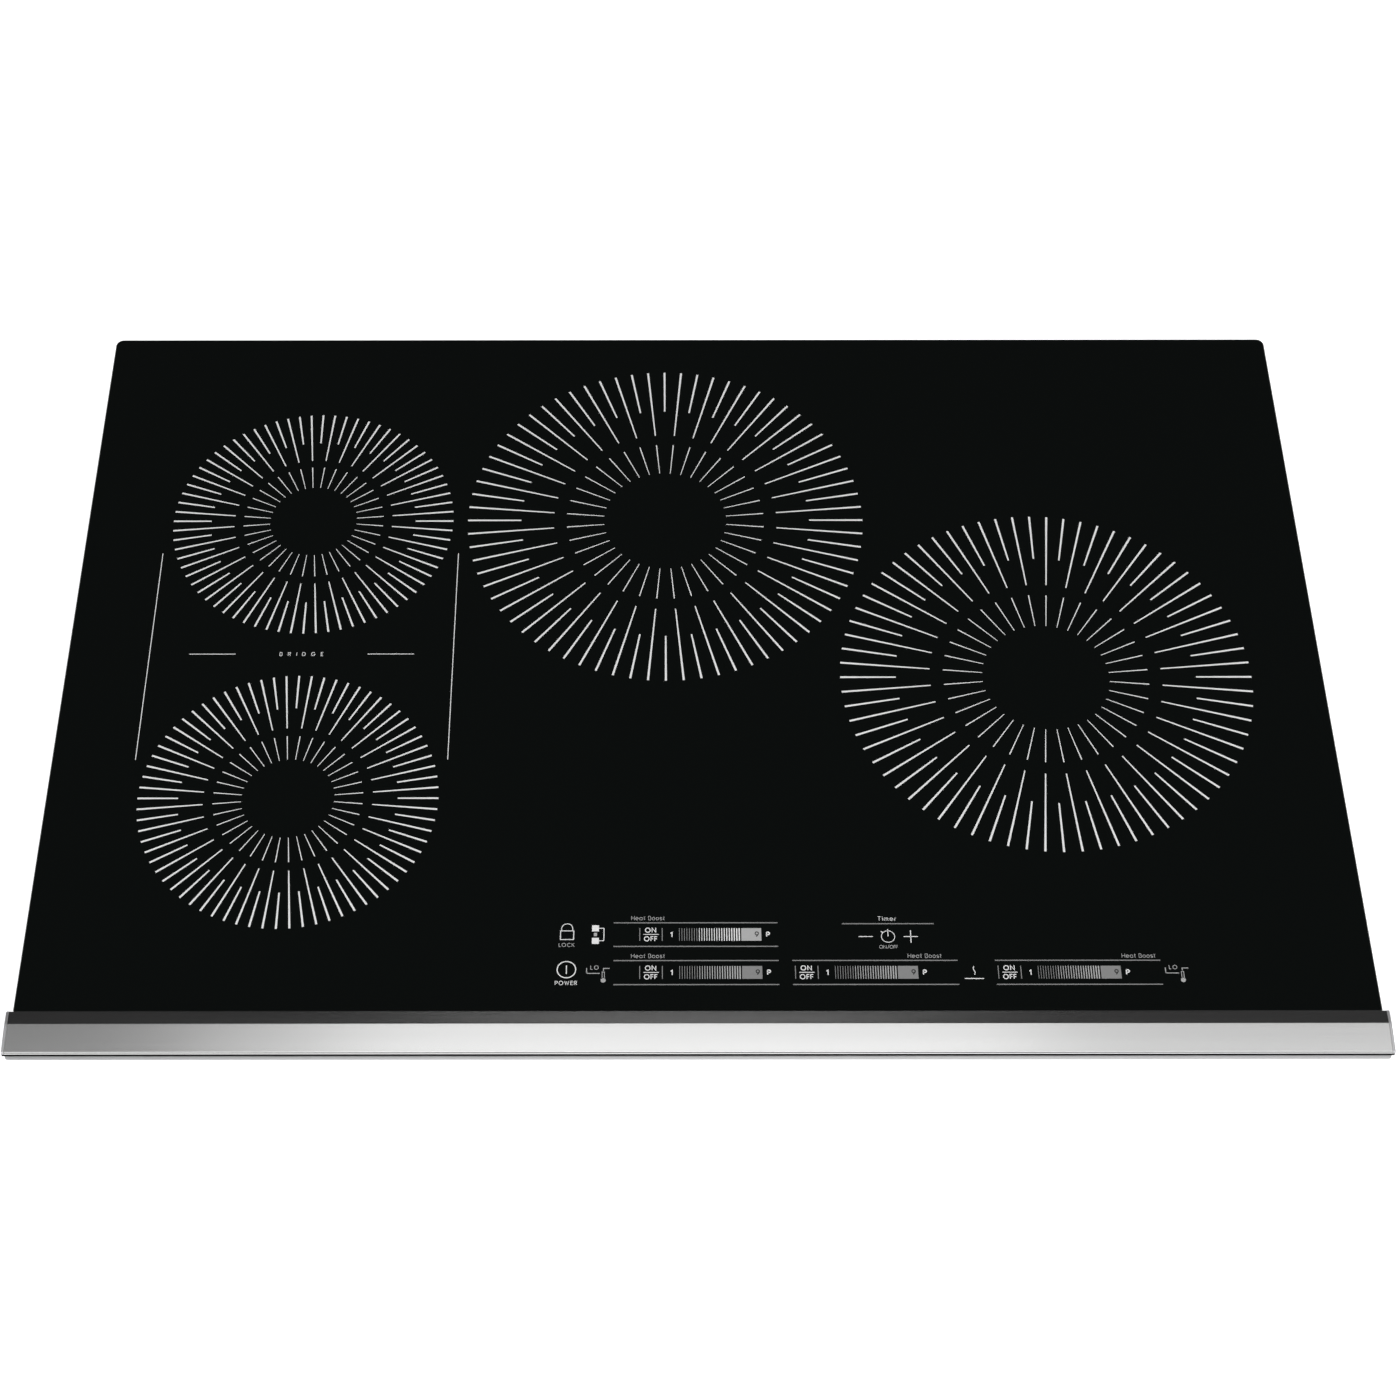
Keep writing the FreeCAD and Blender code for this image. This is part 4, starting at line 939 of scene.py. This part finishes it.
box_screws += [against_wall(screw_rings, (x * MM, rear_face, DECK_SCREW_LEVEL * MM), (0, 1, 0))
               for x in REAR_WALL_PLACES]
screws_piece = new_piece("cross_head_screws", join_blocks([loft(rings) for rings in box_screws]),
                         FINISHES["plated_steel"], "cooktop")
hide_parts("box_screws")

# %% [markdown]
# ## Clamp screws
#
# Each hold-down clamp has a long machine screw with a hexagon head at its foot, turned from
# below. Its thread is a true helix: the radius at an angle and a level is the root plus a ridge
# that climbs one pitch a turn.

# %% Clamp screws
THREAD_PITCH, THREAD_ROOT, THREAD_CREST, RINGS_A_TURN = 0.8, 2.1, 2.5, 6
HEXAGON_HEIGHT, HEXAGON_TO_FLAT = 4.0, 3.9
BEVEL_FOOT, BEVEL_SIDE = 3.4, 4.0
BEVEL_LEVELS = (0, 0.5, 0.9)
NECK_LENGTH, RUN_IN = 1.5, 0.1
TIP_LENGTH, TIP_RADIUS = 0.5, THREAD_ROOT - 0.4


def clamp_screw_rings(length):
    """Hexagon with a bevelled foot, a plain neck, then thread: root + depth |2 frac(z/pitch -
    angle/turn) - 1| up to the tip. Levels count up from the foot."""
    hexagon = HEXAGON_TO_FLAT / np.cos(SCREW_ANGLES % (math.pi / 3) - math.pi / 6)
    bevel = [BEVEL_FOOT, np.minimum(hexagon, BEVEL_SIDE), hexagon]
    head = list(zip(bevel, BEVEL_LEVELS)) + [(hexagon, HEXAGON_HEIGHT)]
    neck_end = HEXAGON_HEIGHT + NECK_LENGTH
    neck = [(THREAD_ROOT, HEXAGON_HEIGHT), (THREAD_ROOT, neck_end)]
    levels = np.arange(neck_end + RUN_IN, length - TIP_LENGTH, THREAD_PITCH / RINGS_A_TURN)
    turns = levels[:, None] / THREAD_PITCH - SCREW_ANGLES / (2 * math.pi)
    ridge = THREAD_ROOT + (THREAD_CREST - THREAD_ROOT) * np.abs(2 * (turns % 1) - 1)
    return stack(head + neck + list(zip(ridge, levels)) + [(TIP_RADIUS, length)])


for side_name in ("left", "right"):
    low, high = (np.array(corner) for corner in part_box("clamp_screw_" + side_name))
    foot = np.array([(low[0] + high[0]) / 2, (low[1] + high[1]) / 2, low[2]])
    rings = clamp_screw_rings((high[2] - low[2]) / MM)
    screw = new_piece("threaded_screw_" + side_name, loft(foot + MM * rings),
                      FINISHES["plated_steel"], "clamp_screw_" + side_name)
    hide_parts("clamp_screw_" + side_name)

# %% [markdown]
# ## Coil springs
#
# Three springs under each coil press it up against the glass. A spring is a tube round a helix whose first
# and last turns lie flat.

# %% Coil springs
SPRING_RADIUS, WIRE_RADIUS = 4.55 * MM, 0.45 * MM
SPRING_TURNS, STEPS_A_TURN, WIRE_POINTS = 7, 16, 8
SPRING_CIRCLE = 0.62
SPRING_BEARINGS = np.radians([22.5, 157.5, 292.5])


def spring_rings(foot, height):
    """Round wire on a helix: radius cos a, radius sin a, and a level that rises evenly between
    the first and the last turn and stays flat in those two."""
    angle = np.linspace(0, 2 * math.pi * SPRING_TURNS, SPRING_TURNS * STEPS_A_TURN)
    share = np.clip((angle / (2 * math.pi) - 1) / (SPRING_TURNS - 2), 0, 1)
    level = WIRE_RADIUS + share * (height - 2 * WIRE_RADIUS)
    outward = np.stack([np.cos(angle), np.sin(angle), np.zeros_like(angle)], -1)
    middle = foot + SPRING_RADIUS * outward + np.outer(level, (0, 0, 1))
    around = np.arange(WIRE_POINTS) * 2 * math.pi / WIRE_POINTS
    upward = np.multiply.outer(np.cos(around), (0, 0, 1))
    sideways = np.sin(around)[None, :, None] * outward[:, None, :]
    return middle[:, None, :] + WIRE_RADIUS * (upward[None] + sideways)


for zone_name in ZONE_NAMES:
    winding_low, winding_high = (np.array(corner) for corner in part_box("coil_winding_" + zone_name))
    low, high = (np.array(corner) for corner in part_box("coil_springs_" + zone_name))
    centre = (winding_low + winding_high)[:2] / 2
    circle = SPRING_CIRCLE * ((winding_high - winding_low)[0] / 2 + RIM_BEYOND_WINDING)
    feet = [(centre[0] + circle * math.cos(a), centre[1] + circle * math.sin(a), low[2])
            for a in SPRING_BEARINGS]
    height = high[2] - low[2]
    springs = new_piece("helical_springs_" + zone_name,
                        join_blocks([loft(spring_rings(np.array(foot), height)) for foot in feet]),
                        FINISHES["spring_steel"], "cooktop", smooth=True)
    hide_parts("coil_springs_" + zone_name)
    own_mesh(springs)
